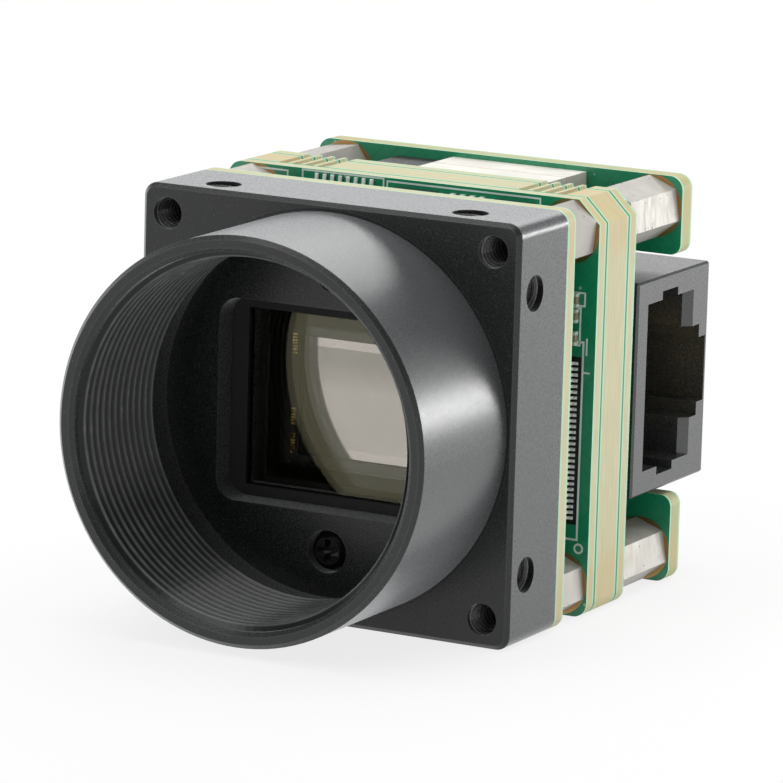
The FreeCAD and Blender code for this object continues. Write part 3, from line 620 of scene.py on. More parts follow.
@dataclass(frozen=True)
class CircuitBoard:
    """Green solder mask on the faces, pale laminate on the cut edges, bare rings at the corners."""

    faces: tuple[float, ...]
    name: str = "circuit_board"
    mask: Colour = (0.008, 0.2, 0.092)
    mask_light: Colour = (0.011, 0.235, 0.11)
    dust: Colour = (0.3, 0.5, 0.38)
    laminate: Colour = (0.6, 0.56, 0.35)
    laminate_dark: Colour = (0.5, 0.48, 0.28)
    toast: Colour = (0.6, 0.4, 0.16)
    overhang: Colour = (0.42, 0.7, 0.48)
    seam: Colour = (0.03, 0.2, 0.09)
    front_ring: Colour = (0.42, 0.26, 0.1)
    rear_ring: Colour = (0.66, 0.65, 0.62)
    ring_centre: float = 12.25
    ring_radius: float = 2.25
    toast_from: float = 3.2
    toast_full: float = 2.4
    toast_share: float = 0.35
    squareness: float = 0.7
    mottle_share: float = 0.35
    coat: float = 0.35
    track_scale: float = 330.0
    track_bands: float = 2.6
    track_gap: float = 0.22
    cloth_scale: Point = (350.0, 7000.0, 350.0)
    overhang_line: Place = (0.24, 0.14)
    seam_halo: Place = (0.34, 0.22)
    seam_line: Place = (0.13, 0.08)
    seams: tuple[float, ...] = ()

    def build(self, groups: SharedGroups) -> bpy.types.Material:
        """Build the material.

        Args:
            groups: The shared node groups.

        Returns:
            The material.
        """
        w = Wiring(self.name)
        x, y, z = w.parts(w.place())
        _, across, _ = w.parts(w.node("NewGeometry").outputs["Normal"])
        face = w.math("GREATER_THAN", w.math("ABSOLUTE", across), self.squareness)
        reach = w.length(*(w.math("SUBTRACT", w.math("ABSOLUTE", side), self.ring_centre * MM)
                           for side in (x, z)))
        in_ring = w.math("LESS_THAN", reach, self.ring_radius * MM)
        copper = self._tracks(w)
        mottle = w.math("MULTIPLY", w.mask(groups.mottle, Scale=260.0), self.mottle_share)
        green = w.blend(copper, self.mask, self.mask_light)
        green = w.blend(mottle, green, self.mask_light)
        green = w.blend(w.mask(groups.specks, Scale=2500.0, Amount=0.02), green, self.dust)
        ring = w.blend(w.math("GREATER_THAN", across, 0.0), self.front_ring, self.rear_ring)
        front = w.blend(in_ring, green, ring)
        w.plain(Base_Color=w.blend(face, self._edge(w, y, reach), front))
        w.plain(Metallic=w.math("MULTIPLY", face, in_ring))
        w.roughness(face, 0.62, 0.3)
        w.plain(Coat_Weight=w.math("MULTIPLY", face, self.coat), Coat_Roughness=0.12)
        w.bump(w.math("MULTIPLY", copper, face), 0.12, 0.02)
        return w.material

    def _tracks(self, w: Wiring) -> bpy.types.NodeSocket:
        """Build a mask of copper areas and tracks under the solder mask.

        Args:
            w: The material's wiring.

        Returns:
            A mask that is 1 on copper.
        """
        cells = w.node("TexVoronoi", feature="F1", distance="MANHATTAN")
        cells.inputs["Scale"].default_value = self.track_scale
        w.join(w.mapped(Rotation=(math.radians(90), 0, 0)), cells.inputs["Vector"])
        bands = w.math("FRACT", w.math("MULTIPLY", cells.outputs["Distance"], self.track_bands))
        return w.math("GREATER_THAN", bands, self.track_gap)

    def _edge(self, w: Wiring, depth: bpy.types.NodeSocket,
              reach: bpy.types.NodeSocket) -> bpy.types.NodeSocket:
        """Build the colour of the cut edges.

        Args:
            w: The material's wiring.
            depth: The point's place along Y.
            reach: Distance from the nearest corner hole.

        Returns:
            The colour of glass cloth and resin, darker near the corners.
        """
        cloth = w.noise(w.mapped(Scale=self.cloth_scale), 1.0, 4.0)
        tone = w.blend(w.span(cloth, 0.35, 0.7), self.laminate_dark, self.laminate)
        toasted = w.span(reach, self.toast_from * MM, self.toast_full * MM, 0.0, self.toast_share)
        tone = w.blend(toasted, tone, self.toast)
        for level in self.faces:
            tone = self._line(w, depth, level, self.overhang_line, tone, self.overhang)
        for level in self.seams:
            tone = self._line(w, depth, level, self.seam_halo, tone, self.overhang)
            tone = self._line(w, depth, level, self.seam_line, tone, self.seam)
        return tone

    @staticmethod
    def _line(w: Wiring, depth: bpy.types.NodeSocket, level: float, reach: Place,
              tone: bpy.types.NodeSocket, colour: Colour) -> bpy.types.NodeSocket:
        """Draw a soft line round the cut edges at one level.

        Args:
            w: The material's wiring.
            depth: The point's place along Y.
            level: The line's level.
            reach: Distances at which the line has faded out, and up to which it is full.
            tone: The colour beneath.
            colour: The line's colour.

        Returns:
            The colour with the line on it.
        """
        faded, full = reach
        gap = w.math("ABSOLUTE", w.math("SUBTRACT", depth, level * MM))
        return w.blend(w.span(gap, faded * MM, full * MM), tone, colour)


@dataclass(frozen=True)
class ClearGlass:
    """Polished glass with a thin coating."""

    name: str
    tint: Colour
    reflection: Colour
    index: float = 1.5
    specular: float = 0.5

    def build(self, groups: SharedGroups) -> bpy.types.Material:
        """Build the material.

        Args:
            groups: The shared node groups.

        Returns:
            The material.
        """
        w = Wiring(self.name)
        smudge = w.mask(groups.mottle, Scale=250.0)
        w.plain(Base_Color=w.blend(smudge, scaled(self.tint, 0.97), self.tint))
        w.plain(Transmission_Weight=1.0, Metallic=0.0, IOR=self.index)
        w.plain(Specular_Tint=self.reflection, Specular_IOR_Level=self.specular)
        w.roughness(smudge, 0.0, 0.02)
        return w.material


@dataclass(frozen=True)
class PolishedSilicon:
    """The sensor's mirror-like die: its active area is darker, and it carries painted shade towards its upper
    end for the dimmer reflection there.
    """

    name: str = "polished_silicon"
    colour: Colour = (0.56, 0.51, 0.5)
    active: Colour = (0.47, 0.43, 0.415)
    painted_shade: Colour = (0.31, 0.29, 0.285)
    painted_shade_start: float = 0.6
    painted_shade_end: float = 2.6
    half_width: float = 4.2
    half_height: float = 3.5

    def build(self, groups: SharedGroups) -> bpy.types.Material:
        """Build the material.

        Args:
            groups: The shared node groups.

        Returns:
            The material.
        """
        w = Wiring(self.name)
        x, _, z = w.parts(w.place())
        inside = w.math("MULTIPLY", *(w.math("LESS_THAN", w.math("ABSOLUTE", side), half * MM)
                                      for side, half in ((x, self.half_width), (z, self.half_height))))
        mottle = w.mask(groups.mottle, Scale=120.0)
        active = w.blend(w.math("MULTIPLY", mottle, 0.2), self.active, self.colour)
        # Painted shade towards the upper end, standing in for a dimmer reflection there.
        active = w.blend(w.span(z, self.painted_shade_start * MM, self.painted_shade_end * MM), active, self.painted_shade)
        w.plain(Base_Color=w.blend(inside, self.colour, active), Metallic=1.0)
        w.roughness(mottle, 0.02, 0.05)
        return w.material


@dataclass(frozen=True)
class PrintedPaper:
    """White label stock, or a pale printed patch, with a faint fibre."""

    name: str
    colour: Colour = (0.82, 0.83, 0.86)

    def build(self, groups: SharedGroups) -> bpy.types.Material:
        """Build the material.

        Args:
            groups: The shared node groups.

        Returns:
            The material.
        """
        w = Wiring(self.name)
        fibre = w.group(groups.grain, Scale=4000.0)
        w.plain(Base_Color=w.blend(fibre.outputs["Mask"], scaled(self.colour, 0.96), self.colour))
        w.roughness(fibre.outputs["Mask"], 0.4, 0.5)
        w.bump(fibre.outputs["Height"], 0.2, 0.006)
        return w.material


class Paintbox:
    """Every finish of the camera, built once and looked up by name."""

    def __init__(self, levels: Levels) -> None:
        """Build all materials.

        Args:
            levels: Levels of the boards, which their edges are marked by.
        """
        groups = SharedGroups()
        faces = levels.seen_faces()
        finishes = (
            AnodisedAluminium(),
            AnodisedThread(),
            # The tapped holes' pale edge colour is painted highlight on their thread crests.
            AnodisedAluminium("tapped_metal", (0.02, 0.022, 0.022), (0.2, 0.2, 0.19), 0.16, 0.05),
            Moulded("matt_black_mask", (0.004, 0.004, 0.004), 0.7),
            Moulded("black_oxide", (0.006, 0.006, 0.0065), 0.16, 2500.0, 0.08, 4.0, 1.0),
            Moulded("chip_compound", (0.013, 0.014, 0.0135), 0.52, 6500.0, 0.3, 2.0),
            Moulded("connector_black", (0.006, 0.007, 0.007), 0.4),
            Moulded("connector_cream", (0.8, 0.77, 0.69), 0.42, 5000.0, 0.1, 1.05),
            Moulded("capacitor_ceramic", (0.36, 0.285, 0.2), 0.32, 5000.0, 0.1, 1.25),
            Moulded("amber_ceramic", (0.45, 0.29, 0.14), 0.35, 5000.0, 0.12, 1.25),
            Moulded("resistor_glaze", (0.01, 0.01, 0.01), 0.25, 5000.0, 0.1, 1.5),
            # Black for painted shade in openings and dimples.
            Moulded("painted_opening_shade", (0.001, 0.001, 0.001), 0.7, 4500.0, 0.02, 1.5, 0.1),
            # The jack's high edge gain paints its bright edges as highlight.
            Moulded("jack_plastic", (0.03, 0.033, 0.032), 0.3, 9000.0, 0.03, 2.6, 1.0),
            Moulded("sensor_ceramic", (0.02, 0.019, 0.016), 0.5),
            Moulded("ink_white", (0.72, 0.78, 0.74), 0.5, 5000.0, 0.1, 1.1),
            Moulded("ink_dark", (0.012, 0.012, 0.016), 0.5, 5000.0, 0.1, 1.0),
            Moulded("via_dark", (0.003, 0.05, 0.02), 0.4, 5000.0, 0.1, 1.0),
            BareMetal("nickel", (0.45, 0.43, 0.39), 0.5, 900.0, 0.25, (1.0, 4.0, 1.0), 0.3),
            BareMetal("tin", (0.72, 0.72, 0.7), 0.26, 2600.0, 0.6),
            # A lighter, less metallic copy of tin: painted highlight for solder in the stack's shaded gaps.
            BareMetal("solder_with_painted_highlight", (0.86, 0.86, 0.84), 0.3, 2600.0, 0.3, metallic=0.35),
            BareMetal("gold", (0.95, 0.68, 0.22), 0.25, 2600.0, 0.3),
            CircuitBoard(faces),
            CircuitBoard(faces, "rear_layers", laminate=(0.47, 0.48, 0.26), laminate_dark=(0.4, 0.42, 0.2)),
            CircuitBoard(faces, "core_layers", seams=(levels.front_seam, levels.rear_seam)),
            ClearGlass("coated_glass", (0.93, 0.93, 0.9), (0.75, 0.7, 0.42), 1.5),
            ClearGlass("cover_glass", (0.97, 0.97, 0.96), (1.0, 1.0, 1.0), 1.45, 0.25),
            PolishedSilicon(),
            PrintedPaper("label_paper"),
            PrintedPaper("patch_cream", (0.62, 0.6, 0.47)),
        )
        self.materials = {finish.name: finish.build(groups) for finish in finishes}

    def dress_node(self, node: bpy.types.Object, name: str) -> None:
        """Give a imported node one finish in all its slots.

        Args:
            node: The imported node's object.
            name: The finish.
        """
        if not node.material_slots:
            node.data.materials.append(self.materials[name])
        for slot in node.material_slots:
            slot.link = "OBJECT"
            slot.material = self.materials[name]


# ------------------------------------------------------------------ mesh building


def soften(piece: bpy.types.Object, width: float, angle: float = 30.0) -> None:
    """Bevel a piece's sharp edges.

    Args:
        piece: The piece.
        width: Width of the bevel.
        angle: The smallest turn between faces that counts as sharp, in degrees.
    """
    bevel = piece.modifiers.new("soft_edges", "BEVEL")
    bevel.width = width * MM
    bevel.segments = 2
    bevel.limit_method = "ANGLE"
    bevel.angle_limit = math.radians(angle)


class Shape:
    """A mesh under construction, in millimetres."""

    def __init__(self) -> None:
        """Start empty."""
        self.mesh = bmesh.new()

    def skin(self, rings: Sequence[Sequence[Point]], closed: bool = False) -> None:
        """Join rings of points with quads.

        Args:
            rings: Rings of equally many points.
            closed: Whether the last ring joins the first; otherwise the end rings are filled.
        """
        rows = [[self.mesh.verts.new(Vector(p) * MM) for p in ring] for ring in rings]
        count = len(rows[0])
        steps = len(rows) if closed else len(rows) - 1
        for step in range(steps):
            low, high = rows[step], rows[(step + 1) % len(rows)]
            for index in range(count):
                follower = (index + 1) % count
                self.mesh.faces.new((low[index], low[follower], high[follower], high[index]))
        if not closed:
            self.mesh.faces.new(list(reversed(rows[0])))
            self.mesh.faces.new(rows[-1])

    def prism(self, outline: Sequence[Place], low: float, high: float,
              top_scale: float = 1.0) -> None:
        """Raise an outline in X and Z from one level along Y to another.

        Args:
            outline: Corners as (x, z).
            low: Level of the foot.
            high: Level of the top.
            top_scale: How much the top shrinks about its middle.
        """
        middle_x = sum(p[0] for p in outline) / len(outline)
        middle_z = sum(p[1] for p in outline) / len(outline)
        foot = [(x, low, z) for x, z in outline]
        top = [(middle_x + (x - middle_x) * top_scale, high, middle_z + (z - middle_z) * top_scale)
               for x, z in outline]
        self.skin([foot, top])

    def slab(self, x: float, z: float, width: float, length: float, low: float, high: float,
             top_scale: float = 1.0) -> None:
        """Raise a rectangle along Y.

        Args:
            x: Its middle across.
            z: Its middle up.
            width: Its side along X.
            length: Its side along Z.
            low: Level of the foot.
            high: Level of the top.
            top_scale: How much the top shrinks about its middle.
        """
        half_width, half_length = width / 2, length / 2
        self.prism([(x - half_width, z - half_length), (x + half_width, z - half_length),
                    (x + half_width, z + half_length), (x - half_width, z + half_length)],
                   low, high, top_scale)

    def disc(self, middle: Place, foot: float, top: float, low: float, high: float, count: int) -> None:
        """Raise a round, tapered disc along Y.

        Args:
            middle: Its middle as (x, z).
            foot: Radius of the foot.
            top: Radius of the top.
            low: Level of the foot.
            high: Level of the top.
            count: How many sides it has.
        """
        self.skin([ring_points(foot, low, count, *middle), ring_points(top, high, count, *middle)])

    def ribbon(self, path: Sequence[Place], thickness: float, low: float, high: float,
               lay: Callable[[float, float, float], Point]) -> None:
        """Make a bent strip from a path of (along, level) points.

        Args:
            path: Middle line of the strip.
            thickness: Its thickness.
            low: Where its width starts.
            high: Where its width ends.
            lay: Turns (along, level, width) into a point.
        """
        rings = []
        for index, (along, level) in enumerate(path):
            before = Vector(path[max(index - 1, 0)])
            after = Vector(path[min(index + 1, len(path) - 1)])
            course = (after - before).normalized()
            side = Vector((-course.y, course.x)) * thickness / 2
            rings.append([lay(along + way * side.x, level + way * side.y, width)
                          for way, width in ((1, low), (1, high), (-1, high), (-1, low))])
        self.skin(rings)

    def finish(self, name: str, material: bpy.types.Material, bevel: float = 0.0) -> bpy.types.Object:
        """Turn the mesh into a piece that rides with the camera.

        Args:
            name: The piece's name.
            material: Its finish.
            bevel: Width of its softened edges, or 0 for sharp ones.

        Returns:
            The new object.
        """
        bmesh.ops.recalc_face_normals(self.mesh, faces=self.mesh.faces)
        data = bpy.data.meshes.new(name)
        self.mesh.to_mesh(data)
        self.mesh.free()
        piece = bpy.data.objects.new(name, data)
        bpy.context.scene.collection.objects.link(piece)
        data.materials.append(material)
        if bevel:
            soften(piece, bevel)
        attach(piece, "root")
        LOG.info("%s: %d faces", name, len(data.polygons))
        return piece


def ring_points(radius: float, level: float, count: int, x: float = 0.0, z: float = 0.0) -> list[Point]:
    """Return points round a circle that faces along Y.

    Args:
        radius: The circle's radius.
        level: Its level.
        count: How many points it has.
        x: Its middle across.
        z: Its middle up.

    Returns:
        The points.
    """
    turns = [2 * math.pi * step / count for step in range(count)]
    return [(x + radius * math.cos(turn), level, z + radius * math.sin(turn)) for turn in turns]


@dataclass
class SubAssembly:
    """What every sub-assembly is given."""

    paint: Paintbox
    levels: Levels

    def finish_of(self, name: str) -> bpy.types.Material:
        """Return a finish by name."""
        return self.paint.materials[name]


@dataclass(frozen=True)
class Thread:
    """The form of an inside thread in a round hole."""

    radius: float
    crest: float
    pitch: float
    start: float
    end: float
    segments: int
    runout: int = 20
    overlap: float = 0.01
    root_share: float = 0.46
    crest_share: float = 0.07

    def add_to(self, shape: Shape, mouth: Point, inward: Point) -> None:
        """Add the helical ridge of one hole to a mesh.

        Args:
            shape: The mesh to add to.
            mouth: Middle of the hole's mouth.
            inward: Direction into the hole.
        """
        axis = Vector(inward)
        side = axis.orthogonal().normalized()
        frame = (Vector(mouth), axis, side, axis.cross(side))
        steps = int((self.end - self.start) / self.pitch * self.segments)
        half, flat = self.pitch * self.root_share, self.pitch * self.crest_share
        root = self.radius + self.overlap
        rings = []
        for step in range(steps + 1):
            turn = 2 * math.pi * step / self.segments
            level = self.start + self.pitch * step / self.segments
            fade = min(1.0, step / self.runout, (steps - step) / self.runout)
            tip = self.radius - self.crest * fade
            rings.append([self._at(frame, turn, radius, level + shift)
                          for radius, shift in ((root, -half), (tip, -flat), (tip, flat), (root, half))])
        shape.skin(rings)

    @staticmethod
    def _at(frame: tuple[Vector, Vector, Vector, Vector], turn: float, radius: float,
            level: float) -> Point:
        """Return a point of the helix.

        Args:
            frame: The hole's mouth, its axis and two directions across it.
            turn: Angle round the axis.
            radius: Distance from the axis.
            level: Depth in the hole.

        Returns:
            The point.
        """
        origin, axis, side, other = frame
        return tuple(origin + axis * level + side * radius * math.cos(turn) + other * radius * math.sin(turn))


@dataclass
class LensMount(SubAssembly):
    """The thread inside the tube and those in the screw holes of the housing."""

    lens_form: Thread = Thread(radius=12.7, crest=0.42, pitch=0.794, start=0.62, end=10.15, segments=128)
    front_form: Thread = Thread(radius=1.1, crest=0.2, pitch=0.45, start=0.35, end=3.6, segments=24)
    side_form: Thread = Thread(radius=1.25, crest=0.22, pitch=0.5, start=0.35, end=3.1, segments=24)
    hole_setback: float = 2.35
    front_offset: float = 12.5
    side_offset: float = 9.6
    top_offset: float = 9.5
    bottom_offset: float = 10.1

    def build(self) -> None:
        """Build the lens thread and the screw threads."""
        inward = (0.0, 1.0, 0.0)
        shape = Shape()
        self.lens_form.add_to(shape, (0.0, 0.0, 0.0), inward)
        shape.finish("lens_thread", self.finish_of("thread_anodising"))
        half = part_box("sensor_board")[1][0] / MM
        front = self.levels.plate_front
        level = front + self.hole_setback
        holes = Shape()
        for side in (-1, 1):
            across = self.top_offset if side > 0 else self.bottom_offset
            for end in (-1, 1):
                corner = (side * self.front_offset, front, end * self.front_offset)
                self.front_form.add_to(holes, corner, inward)
                self.side_form.add_to(holes, (side * half, level, end * self.side_offset), (-side, 0.0, 0.0))
                self.side_form.add_to(holes, (end * across, level, side * half), (0.0, 0.0, -side))
        holes.finish("screw_threads", self.finish_of("tapped_metal"))


@dataclass
class ImageSensor(SubAssembly):
    """Gold bond pads on the package's ledges beside the die."""

    ledge_depth: float = 0.5
    pad_column: float = 5.15
    pad_width: float = 0.34
    pad_length: float = 0.13
    pad_thickness: float = 0.03
    pad_pitch: float = 0.21
    pad_runs: tuple[Place, ...] = ((-4.1, -2.6), (-2.1, -0.7), (2.9, 4.4))

    def build(self) -> None:
        """Build both columns of pads."""
        ledge = level_of("sensor_package", 0) + self.ledge_depth
        shape = Shape()
        for side in (-1, 1):
            for low, high in self.pad_runs:
                for number in range(int((high - low) / self.pad_pitch)):
                    shape.slab(side * self.pad_column, low + number * self.pad_pitch,
                               self.pad_width, self.pad_length, ledge - self.pad_thickness, ledge)
        shape.finish("bond_pads", self.finish_of("gold"))


@dataclass
class BoardLink(SubAssembly):
    """Pins of one board-to-board link, on both of its long sides."""

    across: float = 10.95
    up: float = -2.2
    side: int = 1
    half_width: float = 1.7
    pins: int = 28
    pitch: float = 0.4
    pin_width: float = 0.2
    pin_thickness: float = 0.1
    pin_root: float = 1.68
    foot: float = 0.7
    toe_length: float = 0.32
    toe_height: float = 0.2
    toe_setback: float = 0.22
    toe_spread: float = 1.15
    toe_taper: float = 0.6
    strip_height: float = 0.03
    strip_margin: float = 0.3
    row_margin: float = 0.5
    pin_bend: tuple[Place, ...] = ((0.0, 1.05), (0.12, 1.0), (0.17, 0.85), (0.19, 0.32), (0.28, 0.12),
                                   (0.5, 0.1))

    def build(self) -> None:
        """Build the pins of the plug and of the socket, their solder, and black strips beneath them that are
        partly the connector's black body and partly painted shadow.
        """
        label = "right" if self.side > 0 else "left"
        pins, body_and_shadow_strips = Shape(), Shape()
        length = self.pins * self.pitch + self.row_margin
        for seat, way in ((self.levels.core_front, -1), (self.levels.sensor_rear, 1)):
            for out in (-1, 1):
                # Black strips under the pins: partly the connector's black body, partly painted shadow on the
                # board.
                middle = self.side * self.across + out * (self.half_width + self.foot / 2)
                body_and_shadow_strips.slab(middle, self.up, self.foot + self.strip_margin, length,
                          seat, seat + way * self.strip_height)
                for number in range(self.pins):
                    z = self.up + (number - (self.pins - 1) / 2) * self.pitch
                    self._pin(pins, z, out, seat, way)
        pins.finish("link_pins_" + label, self.finish_of("solder_with_painted_highlight"))
        body_and_shadow_strips.finish("link_body_and_shadow_strips_" + label, self.finish_of("connector_black"))

    def _pin(self, shape: Shape, z: float, out: int, seat: float, way: int) -> None:
        """Add one gull-wing pin with the solder at its toe.

        Args:
            shape: The mesh to add to.
            z: Height of the pin.
            out: Which side of the connector it is on.
            seat: Level of the board that it is soldered to.
            way: Direction away from that board.
        """
        path = [(self.pin_root + along, level) for along, level in self.pin_bend]
        shape.ribbon(path, self.pin_thickness, z - self.pin_width / 2, z + self.pin_width / 2,
                     lambda along, level, width: (self.side * self.across + out * along,
                                                  seat + way * level, width))
        toe = self.side * self.across + out * (self.pin_root + self.foot - self.toe_setback)
        shape.slab(toe, z, self.toe_length, self.pin_width * self.toe_spread,
                   seat, seat + way * self.toe_height, self.toe_taper)


@dataclass
class SmallParts(SubAssembly):
    """Two-ended chip parts on one face of a board, each with its length up the board."""

    names: tuple[str, str] = ("parts", "part_ends")
    finish: str = "capacitor_ceramic"
    seat: float = 0.0
    face: Face = Face.FRONT
    places: tuple[Place, ...] = ()
    body: Point = (0.5, 0.5, 0.4)
    cap: Point = (0.52, 0.24, 0.42)
    cap_offset: float = 0.36
    taper: float = 0.95
    softness: float = 0.02

    def build(self) -> None:
        """Build the bodies and their end caps."""
        bodies, caps = Shape(), Shape()
        for x, z in self.places:
            self._block(bodies, x, z, self.body)
            for side in (-1, 1):
                self._block(caps, x, z + side * self.cap_offset, self.cap)
        bodies.finish(self.names[0], self.finish_of(self.finish), self.softness)
        caps.finish(self.names[1], self.finish_of("solder_with_painted_highlight"), self.softness)

    def _block(self, shape: Shape, x: float, z: float, size: Point) -> None:
        """Add one tapered block of a width, length and height."""
        width, length, height = size
        shape.slab(x, z, width, length, self.seat, self.seat + self.face.value * height, self.taper)


@dataclass
class EdgeRow(SubAssembly):
    """Small parts near the upper edge, in the gap between the sensor board and the core."""

    chip_left: float = -7.9
    chip_up: float = 12.1
    chip_length: float = 2.6
    chip_height: float = 1.0
    chip_taper: float = 0.94
    lead_pitch: float = 0.62
    lead_width: float = 0.28
    lead_thickness: float = 0.14
    leads: int = 8
    lead_bend: tuple[Place, ...] = ((13.35, 0.6), (13.55, 0.58), (13.7, 0.2), (14.28, 0.12))
    blocks: tuple[tuple[float, float, float, float, float], ...] = (
        (0.4, 13.2, 3.4, 1.5, 0.9), (8.0, 13.25, 2.9, 1.3, 0.9), (-11.0, 13.3, 1.2, 0.8, 0.6))
    block_taper: float = 0.95
    end_margin: float = 0.6
    first_lead: float = 0.8
    cap_columns: tuple[float, ...] = (-1.5, 2.3, 6.35, 9.65)
    cap_up: float = 13.3
    cap: Point = (0.42, 1.1, 0.55)
    cap_taper: float = 0.9
    stubs: int = 4
    stub_left: float = 3.3
    stub_pitch: float = 0.75
    stub_up: float = 13.7
    stub: Point = (0.4, 0.5, 0.45)
    stub_taper: float = 0.85
    chip_frames: tuple[Patch, ...] = (
        (-8.6, -2.2, 10.6, 14.4), (-1.9, 9.95, 12.3, 14.25), (-12.2, -9.8, 12.8, 14.2))
    corner_places: tuple[Place, ...] = ((12.9, 4.95), (12.9, 6.5), (12.9, 7.6))
    corner_frames: tuple[Patch, ...] = ((12.2, 13.3, 4.45, 7.05), (12.4, 13.6, 7.2, 8.1))

    def build(self) -> None:
        """Build the chips with their leads, caps and printed frames."""
        seat = self.levels.core_front
        width = self.lead_pitch * (self.leads + self.end_margin)
        body = Shape()
        body.slab(self.chip_left + width / 2, self.chip_up, width, self.chip_length,
                  seat, seat - self.chip_height, self.chip_taper)
        for x, z, across, length, height in self.blocks:
            body.slab(x, z, across, length, seat, seat - height, self.block_taper)
        body.finish("edge_chips", self.finish_of("chip_compound"), 0.05)
        leads = Shape()
        for number in range(self.leads):
            x = self.chip_left + self.lead_pitch * (number + self.first_lead)
            leads.ribbon(self.lead_bend, self.lead_thickness, x - self.lead_width / 2,
                         x + self.lead_width / 2, lambda along, level, width: (width, seat - level, along))
        width, length, height = self.cap
        for x in self.cap_columns:
            leads.slab(x, self.cap_up, width, length, seat, seat - height, self.cap_taper)
        width, length, height = self.stub
        for number in range(self.stubs):
            leads.slab(self.stub_left + number * self.stub_pitch, self.stub_up, width, length,
                       seat, seat - height, self.stub_taper)
        leads.finish("edge_chip_leads", self.finish_of("solder_with_painted_highlight"), 0.03)
        given = (self.paint, self.levels)
        SilkMarks(*given, "edge_outlines", Face.FRONT, seat, frames=self.chip_frames).build()
        SmallParts(*given, ("corner_parts", "corner_part_ends"), "capacitor_ceramic", seat,
                   places=self.corner_places).build()
        SilkMarks(*given, "corner_outlines", Face.FRONT, seat, frames=self.corner_frames).build()


@dataclass
class SilkMarks(SubAssembly):
    """White printed outlines on one face of a board."""

    name: str = "rear_marks"
    face: Face = Face.REAR
    seat: float = 0.0
    line: float = 0.12
    relief: float = 0.015
    cross_width: float = 0.62
    cross_arm: float = 0.27
    cross_step: float = 0.2
    bracket_share: float = 0.28
    circle_sides: int = 48
    frames: tuple[Patch, ...] = ()
    corners: tuple[Patch, ...] = ()
    wedges: tuple[tuple[Place, ...], ...] = ()
    crosses: tuple[Place, ...] = ()
    dashes: tuple[Patch, ...] = ()
    circles: tuple[Point, ...] = ()

    def build(self) -> None:
        """Build the printed marks as one thin piece."""
        shape = Shape()
        low = self.seat
        high = self.seat + self.face.value * self.relief
        for left, right, bottom, top in self.frames:
            for x in (left, right):
                shape.slab(x, (bottom + top) / 2, self.line, abs(top - bottom) + self.line, low, high)
            for z in (bottom, top):
                shape.slab((left + right) / 2, z, abs(right - left) - self.line, self.line, low, high)
        for corner in self.corners:
            self._bracket_pair(shape, corner, low, high)
        for wedge in self.wedges:
            shape.prism(wedge, low, high)
        for x, z in self.crosses:
            shape.slab(x, z, self.cross_width, self.line, low, high)
            for side in (1, -1):
                shape.slab(x, z + side * self.cross_step, self.line, self.cross_arm, low, high)
        for x, z, width, length in self.dashes:
            shape.slab(x, z, width, length, low, high)
        half = self.line / 2
        for x, z, radius in self.circles:
            inner, outer = radius - half, radius + half
            section = ((inner, low), (outer, low), (outer, high), (inner, high))
            shape.skin([ring_points(reach, level, self.circle_sides, x, z) for reach, level in section],
                       closed=True)
        shape.finish(self.name, self.finish_of("ink_white"))

    def _bracket_pair(self, shape: Shape, patch: Patch, low: float, high: float) -> None:
        """Add two facing square brackets round a small part.

        Args:
            shape: The mesh to add to.
            patch: The brackets' backs, then their lower and upper ends.
            low: Level of the board's face.
            high: Level of the ink's face.
        """
        left, right, bottom, top = patch
        arm = abs(right - left) * self.bracket_share
        for x, way in ((left, 1 if right > left else -1), (right, -1 if right > left else 1)):
            shape.slab(x, (bottom + top) / 2, self.line, abs(top - bottom) + self.line, low, high)
            for z in (bottom, top):
                shape.slab(x + way * (arm + self.line) / 2, z, arm, self.line, low, high)


@dataclass
class CellCode(SubAssembly):
    """A made-up pattern of square cells, on a printed square where it has one."""

    name: str = "code"
    middle: Point = (0.0, 0.0, 0.0)
    turn: float = 0.0
    size: float = 2.35
    seed: int = 7
    square: float = 0.0
    cells: int = 12
    fill: float = 0.96
    density: float = 0.5
    ink_low: float = 0.02
    ink_high: float = 0.03

    def build(self) -> None:
        """Build the square and its cells."""
        if self.square:
            patch = Shape()
            patch.slab(0, 0, self.square, self.square, 0, self.ink_low)
            self._lay(patch.finish(self.name, self.finish_of("patch_cream")))
        chance = random.Random(self.seed)
        step = self.size / self.cells
        shape = Shape()
        middles = [(number + 0.5) * step - self.size / 2 for number in range(self.cells)]
        for row, z in enumerate(middles):
            for column, x in enumerate(middles):
                if row == 0 or column == 0 or chance.random() < self.density:
                    shape.slab(x, z, step * self.fill, step * self.fill, self.ink_low, self.ink_high)
        self._lay(shape.finish(self.name + "_cells", self.finish_of("ink_dark")))

    def _lay(self, piece: bpy.types.Object) -> None:
        """Turn a piece about Y and bring it to its place."""
        spin = Matrix.Rotation(math.radians(self.turn), 4, "Y")
        piece.data.transform(Matrix.Translation(Vector(self.middle) * MM) @ spin)


